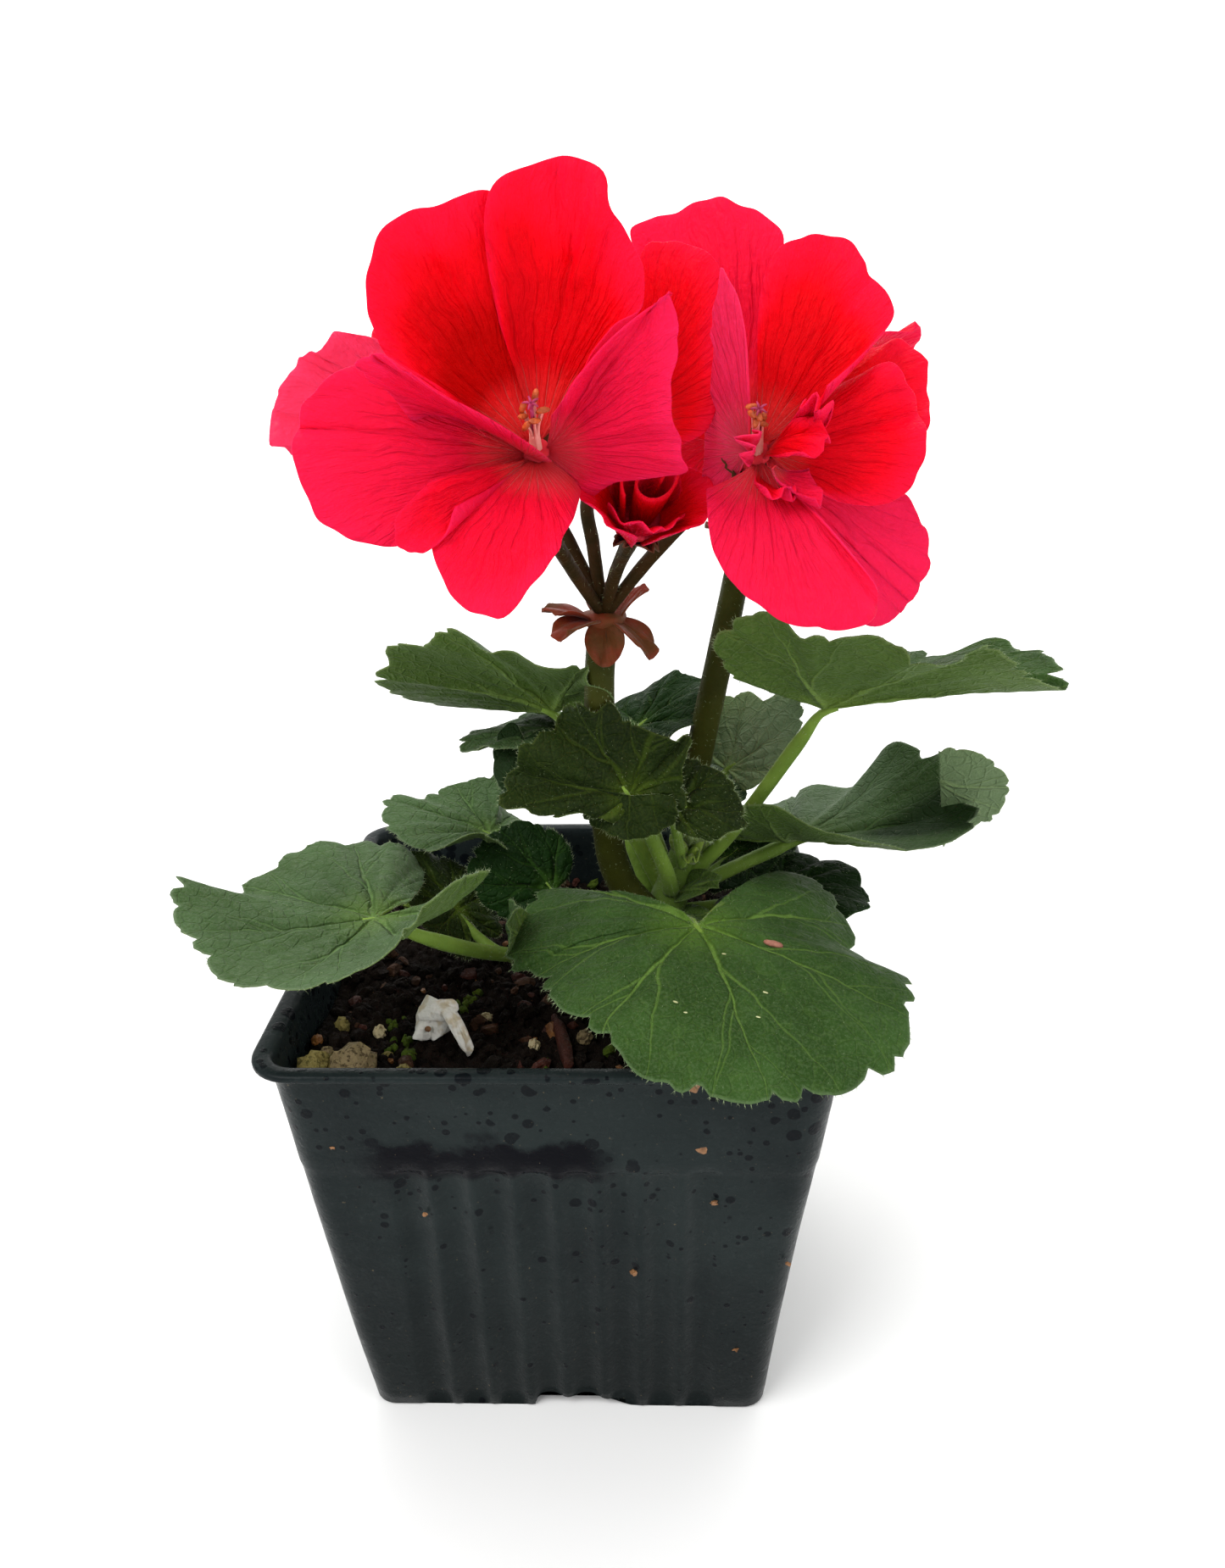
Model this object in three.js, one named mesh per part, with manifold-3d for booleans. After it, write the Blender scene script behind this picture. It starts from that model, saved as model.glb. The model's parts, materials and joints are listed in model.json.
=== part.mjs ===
// Zonal geranium in a square nursery pot, at its real size.
// Millimetres, +Z up. The origin is the middle of the pot's underside and -Y is the front.
import * as THREE from 'three';
import { mergeVertices } from 'three/addons/utils/BufferGeometryUtils.js';
import Module from 'manifold-3d';

const wasm = await Module();
wasm.setup();

// Pot
const potTop = 90; // outer width across the rim
const potBottom = 69; // outer width at the foot
const potHeight = 77;
const potWall = 0.9;
const rimWidth = 2.2; // how far the rim turns out
const rimDepth = 1.3;
const cornerTop = 7; // corner radius at the rim
const cornerBottom = 4;
const bandHeight = 21; // plain band under the rim
const fluteCount = 8; // shallow grooves on each side
const fluteSpan = 52; // width that the grooves take up
const fluteDepth = 0.5;
const notchWidth = 12; // drain slot in the middle of each foot edge
const notchHeight = 1.9;
const notchDepth = 7;

// Soil
const soilFront = 70; // level at the front and left
const soilBack = 65.5; // level at the back
const soilCells = 8;
const crumbCount = 10;

// White grains of perlite in the soil: x, y and radius
const perlite = [
  [-38, -33, 3], [-32, -34, 3.4], [-34, -24, 1.6], [-29, -25, 1.4],
  [-9, -28, 1.3], [-3, -26, 1.2], [-26, -35, 1.5], [-24, -31, 1.4],
];

// Shared clearances and thicknesses
const gap = 0.3; // between pieces that touch
const leafThickness = 0.7;
const petalThickness = 0.6;

// Stems and stalks
const stemRadii = [4.2, 4, 3.6, 2.4]; // from the soil to the growing tip
const petioleRadius = 1.3;
const pedicelRadius = 1.05;
const sepalReach = 7.5;

const rad = THREE.MathUtils.degToRad;
const vec = (p) => new THREE.Vector3(p[0], p[1], p[2]);

// Seeded draws, so that the soil and the small repeats come out the same each time.
function draws(seed) {
  let state = seed;
  return (low, high) => {
    state = (state * 1664525 + 1013904223) % 4294967296;
    return low + ((high - low) * state) / 4294967296;
  };
}

function geometryOf(points, triangles) {
  const geometry = new THREE.BufferGeometry();
  const values = points.flatMap((p) => [p.x, p.y, p.z]);
  geometry.setAttribute('position', new THREE.Float32BufferAttribute(values, 3));
  geometry.setIndex(triangles);
  return geometry;
}

// Closed geometry as a solid that can be joined and cut.
function solidOf(geometry) {
  const bare = geometry.clone();
  bare.deleteAttribute('normal');
  bare.deleteAttribute('uv');
  const merged = mergeVertices(bare, 1e-4);
  return new wasm.Manifold(new wasm.Mesh({
    numProp: 3,
    vertProperties: new Float32Array(merged.attributes.position.array),
    triVerts: new Uint32Array(merged.index.array),
  }));
}

const join = (solids) => solids.reduce((all, solid) => all.add(solid));

// The biggest body of a solid: scraps that a cut leaves loose are dropped.
function mainBody(solid) {
  const bodies = solid.decompose();
  return bodies.reduce((best, body) => (body.volume() > best.volume() ? body : best));
}

// Point on an arc after `s`, when its slope turns evenly from `start` to `end` over `length`.
function arcPoint(s, start, end, length) {
  const turn = (end - start) / length;
  if (Math.abs(turn) < 1e-6) return [s * Math.cos(start), s * Math.sin(start)];
  const now = start + turn * s;
  return [(Math.sin(now) - Math.sin(start)) / turn, (Math.cos(start) - Math.cos(now)) / turn];
}

// A blade is drawn flat, with `a` across and `b` along its midline, and then bent:
// curl turns the midline down from root to tip, back does so behind the root,
// fold is the slope of both halves at the midline, bend how far each margin turns up.
function bladePlace(blade) {
  const root = vec(blade.root);
  const along = vec(blade.tip).sub(root);
  const chord = along.length();
  along.normalize();
  const face = vec(blade.face);
  const normal = face.addScaledVector(along, -face.dot(along)).normalize();
  const side = along.clone().cross(normal);
  const curl = rad(blade.curl ?? 0);
  const back = rad(blade.back ?? blade.curl ?? 0);
  const fold = rad(blade.fold ?? 0);
  const twist = rad(blade.twist ?? 0);
  const bend = (blade.bend ?? [0, 0]).map(rad);
  const length = Math.abs(curl) < 1e-6 ? chord : (chord * curl) / 2 / Math.sin(curl / 2);
  const half = blade.width ? blade.width / 2 : length;
  const place = (a, b) => {
    let slope = curl / 2 - (curl * b) / length;
    let [run, rise] = arcPoint(b, curl / 2, -curl / 2, length);
    if (b < 0) {
      slope = curl / 2 - (back * b) / length;
      [run, rise] = arcPoint(-b, -curl / 2, -curl / 2 - back, length);
      run = -run;
    }
    const heading = along.clone().multiplyScalar(Math.cos(slope));
    heading.addScaledVector(normal, Math.sin(slope));
    const turn = (twist * b) / length;
    const up = heading.clone().cross(side).negate().applyAxisAngle(heading, turn);
    const out = side.clone().applyAxisAngle(heading, turn);
    const margin = a < 0 ? bend[0] : bend[1];
    const [reach, lift] = arcPoint(Math.abs(a), fold, fold + margin, half);
    const wave = blade.wave ? blade.wave(a / half, b / length) : 0;
    return root.clone()
      .addScaledVector(along, run)
      .addScaledVector(normal, rise)
      .addScaledVector(out, Math.sign(a) * reach)
      .addScaledVector(up, lift + wave);
  };
  return { place, length, half };
}

// Closed blade: both faces are split into triangles alike, half the thickness either side.
function bladeSolid(flat, place, thickness) {
  const step = 0.05;
  const upper = [];
  const lower = [];
  for (const [a, b] of flat.points) {
    const across = place(a + step, b).sub(place(a - step, b));
    const ahead = place(a, b + step).sub(place(a, b - step));
    const normal = across.cross(ahead).normalize();
    const middle = place(a, b);
    upper.push(middle.clone().addScaledVector(normal, thickness / 2));
    lower.push(middle.clone().addScaledVector(normal, -thickness / 2));
  }
  const count = upper.length;
  const edges = new Set(flat.triangles.flatMap(([i, j, k]) => [`${i},${j}`, `${j},${k}`, `${k},${i}`]));
  const triangles = [];
  for (const [i, j, k] of flat.triangles) {
    triangles.push(i, j, k, count + k, count + j, count + i);
    for (const [from, to] of [[i, j], [j, k], [k, i]]) {
      if (edges.has(`${to},${from}`)) continue;
      triangles.push(count + from, count + to, to, count + from, to, from);
    }
  }
  return solidOf(geometryOf([...upper, ...lower], triangles));
}

// Flat leaf round its joint: rings of points, with rounded teeth on the outermost.
function leafFlat(radius, half, { teeth = 18, sinus = 18, lobe = 0.05, tooth = 0.045, fine = 3 }) {
  const sweep = rad(180 - sinus);
  const lobeAngle = rad(48);
  const outline = (angle) => {
    const body = 0.94 + 0.06 * Math.cos(angle);
    const lobes = 1 - lobe * (0.5 - 0.5 * Math.cos((2 * Math.PI * angle) / lobeAngle));
    const rounding = 1 - 0.45 * Math.abs(angle / sweep) ** 10;
    return radius * body * lobes * rounding;
  };
  const ring = (share, count, bite) => Array.from({ length: count + 1 }, (_, i) => {
    const angle = sweep * ((2 * i) / count - 1);
    const reach = outline(angle) * share * (1 - (i % fine === 0 ? bite : 0));
    return [(reach * Math.sin(angle) * half) / radius, reach * Math.cos(angle)];
  });
  const coarse = Math.round(teeth * 0.6);
  const rings = [ring(0.55, coarse, 0), ring(1, teeth * fine, tooth)];
  const points = [[0, 0]];
  const triangles = [];
  let inner = null;
  for (const outer of rings) {
    const start = points.length;
    points.push(...outer);
    const next = outer.map((_, i) => start + i);
    if (inner) triangles.push(...zipRings(inner, next));
    else for (let i = 1; i < next.length; i += 1) triangles.push([0, next[i], next[i - 1]]);
    inner = next;
  }
  return { points, triangles };
}

// Triangles between two rings with different numbers of points.
function zipRings(inner, outer) {
  const triangles = [];
  let i = 0;
  let o = 0;
  while (i < inner.length - 1 || o < outer.length - 1) {
    const nextInner = (i + 1) / (inner.length - 1);
    const nextOuter = (o + 1) / (outer.length - 1);
    if (nextOuter <= nextInner) {
      triangles.push([inner[i], outer[o + 1], outer[o]]);
      o += 1;
    } else {
      triangles.push([inner[i], inner[i + 1], outer[o]]);
      i += 1;
    }
  }
  return triangles;
}

// Flat petal: a narrow claw that widens to a rounded end. `pointed` draws the end out to a tip.
function petalFlat(length, width, { cells = [4, 4], claw = 0.2, round = 0.38, pointed = false }) {
  const [across, ahead] = cells;
  const points = [];
  for (let row = 0; row <= ahead; row += 1) {
    for (let column = 0; column <= across; column += 1) {
      const j = (2 * column) / across - 1;
      const t = row / ahead;
      const spread = pointed
        ? Math.sin(Math.PI * (0.12 + 0.86 * t)) ** 0.7
        : claw + (1 - claw) * Math.sin((Math.PI / 2) * Math.min(1, t * 1.25)) ** 1.2;
      const fall = pointed ? 0 : round * Math.abs(j) ** 2.2 * t * t;
      points.push([(width / 2) * j * spread, length * t * (1 - fall)]);
    }
  }
  const triangles = [];
  for (let row = 0; row < ahead; row += 1) {
    for (let column = 0; column < across; column += 1) {
      const i = row * (across + 1) + column;
      const above = i + across + 1;
      const leftHalf = column < across / 2;
      if (leftHalf) triangles.push([i, i + 1, above], [i + 1, above + 1, above]);
      else triangles.push([i, i + 1, above + 1], [i, above + 1, above]);
    }
  }
  return { points, triangles };
}

function petal(p, grow = 0) {
  const { place, length, half } = bladePlace({ ...p, wave: ruffle(p) });
  const flat = petalFlat(length + grow, 2 * (half + grow), p);
  return bladeSolid(flat, place, petalThickness + 2 * grow);
}

function ruffle({ wavy = 0, waves = 2, phase = 0 }) {
  return (a, b) => wavy * b * b * Math.sin(waves * Math.PI * a + phase);
}

// Tube with closed ends along a smooth curve through `points`; its radii are spread evenly.
function tube(points, radii, sides = 6, steps = 6) {
  const curve = new THREE.CatmullRomCurve3(points.map(vec));
  const frames = curve.computeFrenetFrames(steps);
  const vertices = [curve.getPointAt(0)];
  for (let step = 0; step <= steps; step += 1) {
    const centre = curve.getPointAt(step / steps);
    const place = (step / steps) * (radii.length - 1);
    const before = Math.min(Math.floor(place), radii.length - 2);
    const radius = THREE.MathUtils.lerp(radii[before], radii[before + 1], place - before);
    for (let side = 0; side < sides; side += 1) {
      const angle = (2 * Math.PI * side) / sides;
      vertices.push(centre.clone()
        .addScaledVector(frames.normals[step], radius * Math.cos(angle))
        .addScaledVector(frames.binormals[step], radius * Math.sin(angle)));
    }
  }
  vertices.push(curve.getPointAt(1));
  const last = vertices.length - 1;
  const triangles = [];
  for (let side = 0; side < sides; side += 1) {
    const next = (side + 1) % sides;
    triangles.push(0, 1 + next, 1 + side);
    for (let step = 0; step < steps; step += 1) {
      const here = 1 + step * sides;
      const there = here + sides;
      triangles.push(here + side, here + next, there + next, here + side, there + next, there + side);
    }
    triangles.push(last, last - sides + side, last - sides + next);
  }
  return solidOf(geometryOf(vertices, triangles));
}

// Faceted lump, turned at random and stretched to `size`.
function lump(centre, size, draw, small = false) {
  const geometry = small ? new THREE.OctahedronGeometry(1) : new THREE.IcosahedronGeometry(1, 0);
  geometry.rotateX(draw(0, 3)).rotateY(draw(0, 3)).rotateZ(draw(0, 3));
  geometry.scale(size[0], size[1], size[2]);
  geometry.translate(centre[0], centre[1], centre[2]);
  return solidOf(geometry);
}

function box(size, centre, turn) {
  const geometry = new THREE.BoxGeometry(size[0], size[1], size[2]);
  geometry.translate(centre[0], centre[1], centre[2]);
  geometry.rotateZ(turn);
  return solidOf(geometry);
}

// Square loop with rounded corners; `dents` adds points along each side, as place and depth.
function squareLoop(half, corner, z, dents = []) {
  const straight = half - corner;
  const points = [];
  for (let side = 0; side < 4; side += 1) {
    const turn = (Math.PI / 2) * side;
    const add = (x, y) => points.push(new THREE.Vector3(
      x * Math.cos(turn) - y * Math.sin(turn), x * Math.sin(turn) + y * Math.cos(turn), z));
    add(-straight, -half);
    for (const [x, depth] of dents) add(x, depth - half);
    add(straight, -half);
    for (const angle of [-60, -30]) {
      add(straight + corner * Math.cos(rad(angle)), -straight + corner * Math.sin(rad(angle)));
    }
  }
  return points;
}

// Crests and valleys of the flutes across one side.
function flutes(depth) {
  return Array.from({ length: 2 * fluteCount + 1 }, (_, i) => [
    fluteSpan * (i / (2 * fluteCount) - 0.5), i % 2 ? depth : 0,
  ]);
}

// Surface through a stack of loops, closed at both ends by fans.
function stackSolid(loops) {
  const size = loops[0].length;
  const first = new THREE.Vector3(0, 0, loops[0][0].z);
  const last = new THREE.Vector3(0, 0, loops.at(-1)[0].z);
  const points = [first, ...loops.flat(), last];
  const end = points.length - 1;
  const triangles = [];
  for (let i = 0; i < size; i += 1) {
    const next = (i + 1) % size;
    triangles.push(0, 1 + next, 1 + i);
    triangles.push(end, end - size + i, end - size + next);
    for (let k = 0; k < loops.length - 1; k += 1) {
      const low = 1 + k * size;
      const high = low + size;
      triangles.push(low + i, low + next, high + next, low + i, high + next, high + i);
    }
  }
  return solidOf(geometryOf(points, triangles));
}

// Half width and corner radius of the pot's wall at height z, before the rim.
function potSection(z) {
  const share = z / potHeight;
  const half = THREE.MathUtils.lerp(potBottom, potTop - 2 * rimWidth, share) / 2;
  return [half, THREE.MathUtils.lerp(cornerBottom, cornerTop - rimWidth, share)];
}

function pot() {
  const wall = (z, inwards, depth) => {
    const [half, corner] = potSection(z);
    return squareLoop(half - inwards, Math.max(corner - inwards, 1), z, flutes(depth));
  };
  const bandFoot = potHeight - bandHeight;
  const rimFoot = potHeight - rimDepth;
  const [neck] = potSection(rimFoot);
  const outside = [
    wall(0, 0, fluteDepth),
    wall(bandFoot, 0, fluteDepth),
    wall(bandFoot + 0.8, -0.2, 0),
    wall(rimFoot, -0.2, 0),
    squareLoop(potTop / 2, cornerTop, rimFoot, flutes(0)),
    squareLoop(potTop / 2 - 0.3, cornerTop - 0.3, potHeight, flutes(0)),
    squareLoop(neck - potWall + 0.2, cornerTop - rimWidth, potHeight, flutes(0)),
  ];
  let shell = stackSolid([...outside, wall(potWall, potWall, 0)]);
  for (let side = 0; side < 4; side += 1) {
    const middle = [0, -potBottom / 2 + 1, 0];
    shell = shell.subtract(box([notchWidth, notchDepth, 2 * notchHeight], middle, (Math.PI / 2) * side));
  }
  return shell;
}

function soilLevel(x, y) {
  const share = THREE.MathUtils.clamp((y + 40) / 80, 0, 1);
  return THREE.MathUtils.lerp(soilFront, soilBack, share)
    + 0.8 * Math.sin(0.31 * x + 1) * Math.cos(0.27 * y) - 0.02 * Math.max(0, x - 5);
}

function soil() {
  const floor = potWall + gap;
  const [low, lowCorner] = potSection(floor);
  const [high, highCorner] = potSection(soilFront + 2);
  const inset = potWall + gap + 0.1;
  const block = stackSolid([
    squareLoop(low - inset, lowCorner, floor),
    squareLoop(high - inset, highCorner, soilFront + 3),
  ]);
  const draw = draws(7);
  const side = potTop + 4;
  const geometry = new THREE.BoxGeometry(side, side, 40, soilCells, soilCells, 1);
  const position = geometry.attributes.position;
  for (let i = 0; i < position.count; i += 1) {
    const [x, y] = [position.getX(i), position.getY(i)];
    const bumpy = position.getZ(i) < 0;
    position.setZ(i, bumpy ? soilLevel(x, y) + roughness(x, y) : potHeight + 5);
  }
  let body = block.subtract(solidOf(geometry));
  for (let i = 0; i < crumbCount; i += 1) {
    const [x, y] = [draw(-37, 37), draw(-37, 37)];
    const size = draw(1.2, 2.6);
    body = body.add(lump([x, y, soilLevel(x, y)], [size, size * draw(0.7, 1), size * 0.8], draw));
  }
  for (const [x, y, size] of perlite) {
    body = body.add(lump([x, y, soilLevel(x, y) + 0.3 * size], [size, size * 0.85, size * 0.8], draw));
  }
  return body.add(barkStick());
}

function roughness(x, y) {
  return 0.7 * Math.sin(1.9 * x + 0.7 * y) * Math.cos(1.3 * y - 0.4 * x);
}

function barkStick() {
  return tube([[-6, -31, 70], [-5, -25, 71], [-4.5, -19, 70]], [1, 0.8], 5, 2);
}

function whiteFlake() {
  const shape = { root: [-17, -24, 69.8], tip: [-22, -17, 71], face: [0.2, -0.2, 1], width: 8 };
  return petal({ ...shape, curl: 60, bend: [-55, -40], cells: [4, 4], claw: 0.6 });
}

// Stem route from the soil to the growing tip, and the stipules at the foot of the petioles
const stemRoute = [[15, 1, 56], [16, 2, 70], [18, 3, 80], [21, 4, 90]];
const stipules = [
  { root: [19, 2.5, 82], tip: [27, -4, 88], face: [0, -0.6, 0.8] },
  { root: [18, 2.5, 77.5], tip: [26.5, -5, 79.5], face: [0, -0.4, 0.9] },
];

function mainStem(grow = 0) {
  const draw = draws(21);
  const parts = [tube(stemRoute, stemRadii.map((r) => r + grow), 8, 5)];
  for (let i = 0; i < 5; i += 1) {
    const angle = (2 * Math.PI * i) / 5;
    const centre = [21 + 1.8 * Math.cos(angle), 4 + 1.8 * Math.sin(angle), 90.2 + draw(0, 1.4)];
    parts.push(lump(centre, [1.7 + grow, 1.6 + grow, 2.2 + grow], draw, true));
  }
  for (const stipule of stipules) {
    parts.push(petal({ width: 6, curl: 30, bend: [20, 20], cells: [2, 2], pointed: true, ...stipule }, grow));
  }
  return join(parts);
}

function leaf(shape, grow = 0) {
  const { place, length, half } = bladePlace({ ...shape, wave: pleats(shape) });
  const flat = leafFlat(length + grow, half + grow, shape);
  const blade = bladeSolid(flat, place, leafThickness + 2 * grow);
  const down = vec(shape.face).normalize().negate();
  const start = place(0, 2).addScaledVector(down, 0.6);
  const joint = place(0, -0.6).addScaledVector(down, 1.1);
  const points = [start.toArray(), joint.toArray(), ...shape.route];
  const radius = (shape.stalk ?? petioleRadius) + grow;
  const petiole = tube(points, [0.7 + grow, radius, radius, radius], 5, 6);
  return blade.add(petiole);
}

// Waved margin, with as many waves round the leaf as it has.
function pleats({ wavy = 0, waves = 6, phase = 0 }) {
  return (a, b) => wavy * (a * a + b * b) * Math.sin(waves * Math.atan2(a, b) + phase);
}

// Leaves: joint of blade and petiole, tip of the midrib, where the upper face looks,
// and the petiole's route back to the stem. Width is across the blade where it isn't round.
const leaves = [
  { root: [22, -25, 91], tip: [31, -55, 80.5], face: [0.12, -0.3, 1], teeth: 24, curl: 25,
    back: 15, bend: [-20, -35], wavy: 0.6, route: [[20.5, -16, 86], [18.5, -3, 80]] },
  { root: [-28, -24, 92], tip: [-54, -37, 96], face: [0.12, -0.02, 1], width: 54, teeth: 24, curl: -15,
    back: -25, sinus: 14, bend: [15, 12], wavy: 0.7, route: [[-21, -22, 87], [-8, -12, 78], [12.5, 0, 74]] },
  { root: [43.5, -2, 118.5], tip: [77, -10, 122.5], face: [0, 0.3, 0.95], width: 54, teeth: 24, curl: 12,
    fold: 18, sinus: 58, bend: [5, 10], wavy: 0.9, fine: 2, route: [[40, 0, 112], [28, 2, 93], [21, 3, 85]] },
  { root: [41, 9, 90], tip: [75, 2, 101.5], face: [-0.1, 0.05, 1], width: 46, teeth: 16, curl: -20,
    fold: 12, sinus: 35, bend: [20, 20], wavy: 0.8, fine: 2, route: [[34, 7, 87], [21.5, 2, 83]] },
  { root: [-1.5, 6, 115.5], tip: [-31, 6, 122], face: [0, 0.3, 0.95], width: 44, teeth: 20, curl: 15,
    fold: 18, sinus: 62, wavy: 0.9, fine: 2, route: [[3, 6, 108], [12, 6, 92], [17, 5, 82]] },
  { root: [0, 14, 109], tip: [-19, 12, 107], face: [0, 0.05, 1], width: 24, teeth: 12, fine: 2,
    curl: 20, sinus: 50, wavy: 0.8, route: [[7, 13, 98], [15, 7, 80]] },
  { root: [-14, 10, 90.5], tip: [-33, 14, 95], face: [0, 0, 1], width: 30, teeth: 14, fine: 2, curl: 10,
    sinus: 55, fold: 10, wavy: 0.8, route: [[-18, 5, 83], [-8, 4, 76], [12.5, 3, 73]], stalk: 1 },
  { root: [-2.5, 2, 83], tip: [-11.5, 6, 93], face: [0.1, -0.85, 0.5], width: 25, teeth: 14, fine: 2,
    curl: 10, wavy: 0.4, route: [[3, 2, 79], [12.5, 1, 77]], stalk: 1.1 },
  { root: [11.5, -12, 107], tip: [3, -9, 122], face: [0, -0.95, 0.3], width: 36, teeth: 18, fine: 2,
    curl: 10, bend: [15, 15], sinus: 72, wavy: 1.3, waves: 7, route: [[13.5, -9, 102], [17.5, -4, 90], [18.5, 0, 84]] },
  { root: [19, -11, 105], tip: [28, -13, 104.5], face: [0.2, -0.9, 0.4], width: 18, teeth: 10, fine: 2,
    curl: 10, sinus: 30, wavy: 0.6, route: [[19, -8, 100], [20.5, 0, 89]], stalk: 0.9 },
  { root: [17, 20, 95], tip: [15, 37, 96], face: [0, -0.1, 1], width: 34, teeth: 12, fine: 2, curl: 25,
    wavy: 1, route: [[15.5, 13, 92], [17, 6, 84]] },
  { root: [29, 15, 101], tip: [42, 19, 108], face: [0, -0.55, 0.85], width: 25, teeth: 12, fine: 2,
    curl: 15, wavy: 0.8, route: [[28, 13, 95], [25, 7, 87], [21, 3.5, 83]] },
  { root: [30, 15, 84], tip: [41, 24, 86], face: [0, -0.1, 1], width: 20, teeth: 10, fine: 2, curl: 20,
    wavy: 0.8, route: [[26, 11, 82], [20, 6, 79]], stalk: 1 },
  { root: [38, 4, 83], tip: [53, -2, 82], face: [0.1, -0.2, 1], width: 24, teeth: 10, fine: 2, curl: 20,
    wavy: 0.6, route: [[32, 4, 80], [20.5, 4, 78]], stalk: 1 },
  { root: [-19, -3, 82], tip: [-28, 2, 90], face: [0.2, -0.3, 1], width: 16, teeth: 10, fine: 2, curl: 15,
    wavy: 0.6, route: [[-12, -7, 76], [0, -8, 73], [12, -1, 71]], stalk: 1 },
  { root: [13, 14, 110], tip: [26, 17, 117], face: [-0.2, -0.3, 1], width: 20, teeth: 10, fine: 2, curl: 15,
    wavy: 0.8, route: [[13, 12, 100], [18, 6.5, 85]], stalk: 1 },
];

// Florets: throat, where the floret looks, and its petals by the tips that they reach
const florets = {
  floret_front_left: {
    throat: [1.6, -42, 164],
    axis: [-0.1, -0.84, 0.54],
    cells: [4, 4],
    petals: [
      { tip: [-13, -44, 186.5], face: [0.35, -1, 0], width: 26, curl: -15, bend: [25, 15] },
      { tip: [7.5, -42, 194.5], face: [0, -1, 0.2], width: 21, curl: -5, bend: [10, 20] },
      { tip: [19, -52, 171.5], face: [-0.6, 0.9, -0.2], width: 23, curl: 25, bend: [15, 15] },
      { tip: [-15, -56, 173.5], face: [0, -0.45, 1], width: 14, curl: 10, bend: [10, -40], cells: [3, 3] },
      { tip: [-24.5, -51, 164], face: [0.1, -1, 0.35], width: 24, curl: 25, bend: [-10, -10] },
      { tip: [-11, -58, 156], face: [0.3, -0.8, 0.5], width: 11, curl: 15, bend: [-10, 10], cells: [2, 3] },
      { tip: [-1, -63, 148.5], face: [0.1, -0.75, 0.6], width: 20, curl: 20, bend: [-20, -20] },
    ],
  },
  floret_front_right: {
    throat: [28, -38, 163],
    axis: [0.15, -0.85, 0.5],
    cells: [4, 4],
    petals: [
      { tip: [22.5, -30, 190.5], face: [0.1, -1, 0.1], width: 25, curl: -5, bend: [10, 10] },
      { tip: [38.5, -31, 185], face: [-0.2, -1, 0.1], width: 23, curl: -5, bend: [15, 35] },
      { tip: [48.5, -30, 173], face: [-0.3, -1, 0.1], width: 18, curl: 10, bend: [10, 10], cells: [3, 3] },
      { tip: [48, -38, 164.5], face: [-0.3, -1, 0.2], width: 22, curl: 10, bend: [0, 10] },
      { tip: [48, -33, 146], face: [0, -1, 0.3], width: 19, curl: 15, cells: [3, 3] },
      { tip: [38.5, -53, 147], face: [-0.1, -0.8, 0.6], width: 21, curl: 30, bend: [-20, -10] },
      { tip: [26.5, -53, 172], face: [1, -0.1, 0.1], width: 25, curl: -140, bend: [5, 5] },
      { tip: [37, -46, 163], face: [-0.2, -0.6, 0.8], width: 6, curl: 50, bend: [40, 40], cells: [2, 3] },
      { tip: [31, -47, 158], face: [0, 0.2, 1], width: 6, curl: -70, bend: [40, 40], cells: [2, 3] },
    ],
  },
  floret_middle: {
    throat: [14, -18, 165],
    axis: [0.1, -0.6, 0.8],
    cells: [3, 2],
    petals: [
      { tip: [18, -24, 186.5], face: [0, -1, 0.3], width: 21, curl: 10, bend: [0, 0] },
      { tip: [23, -26, 173], face: [-0.3, -1, 0.2], width: 16, curl: 10 },
      { tip: [4, -20, 181], face: [0.3, -0.8, 0.4], width: 18, curl: 20 },
      { tip: [12, 0, 180], face: [0, -0.5, 0.9], width: 20, curl: 30 },
    ],
  },
  floret_left: {
    throat: [-9, -17, 163],
    axis: [-0.55, -0.45, 0.6],
    cells: [3, 2],
    petals: [
      { tip: [-31, -27, 171.5], face: [0.3, -0.9, 0.4], width: 17, curl: 15 },
      { tip: [-20, -12, 180], face: [0.4, -0.7, 0.6], width: 18, curl: 20 },
      { tip: [-29, -22, 160], face: [0, -0.7, 0.6], width: 17, curl: 20 },
      { tip: [-16, 2, 175], face: [0, -0.4, 0.9], width: 18, curl: 35 },
    ],
  },
  floret_right_back: {
    throat: [37, -8, 165],
    axis: [0.45, 0.3, 0.75],
    cells: [3, 2],
    petals: [
      { tip: [36, -8, 187.5], face: [0.3, 0.9, 0.3], width: 16, curl: 20 },
      { tip: [52, -12, 176], face: [-0.3, 0.3, 0.9], width: 17, curl: 25 },
      { tip: [53, -4, 160], face: [0.7, 0.1, 0.8], width: 17, curl: 25 },
      { tip: [46, 11, 166], face: [0.2, 0.3, 1], width: 18, curl: 25 },
      { tip: [30, 10, 178], face: [0.2, 0.2, 0.9], width: 18, curl: 25 },
    ],
  },
  floret_back: {
    throat: [30, 20, 160],
    axis: [0.25, 0.85, 0.45],
    cells: [3, 2],
    petals: [
      { tip: [27, 18, 183], face: [0, 1, 0.2], width: 18, curl: 20 },
      { tip: [49, 17, 170], face: [0.2, 1, 0.2], width: 18, curl: 25 },
      { tip: [41, 29, 146], face: [0.2, 1, 0.3], width: 18, curl: 25 },
      { tip: [17, 29, 150], face: [-0.2, 1, 0.3], width: 18, curl: 25 },
      { tip: [12, 16, 174], face: [-0.1, 1, 0.2], width: 17, curl: 25 },
    ],
  },
};

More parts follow.
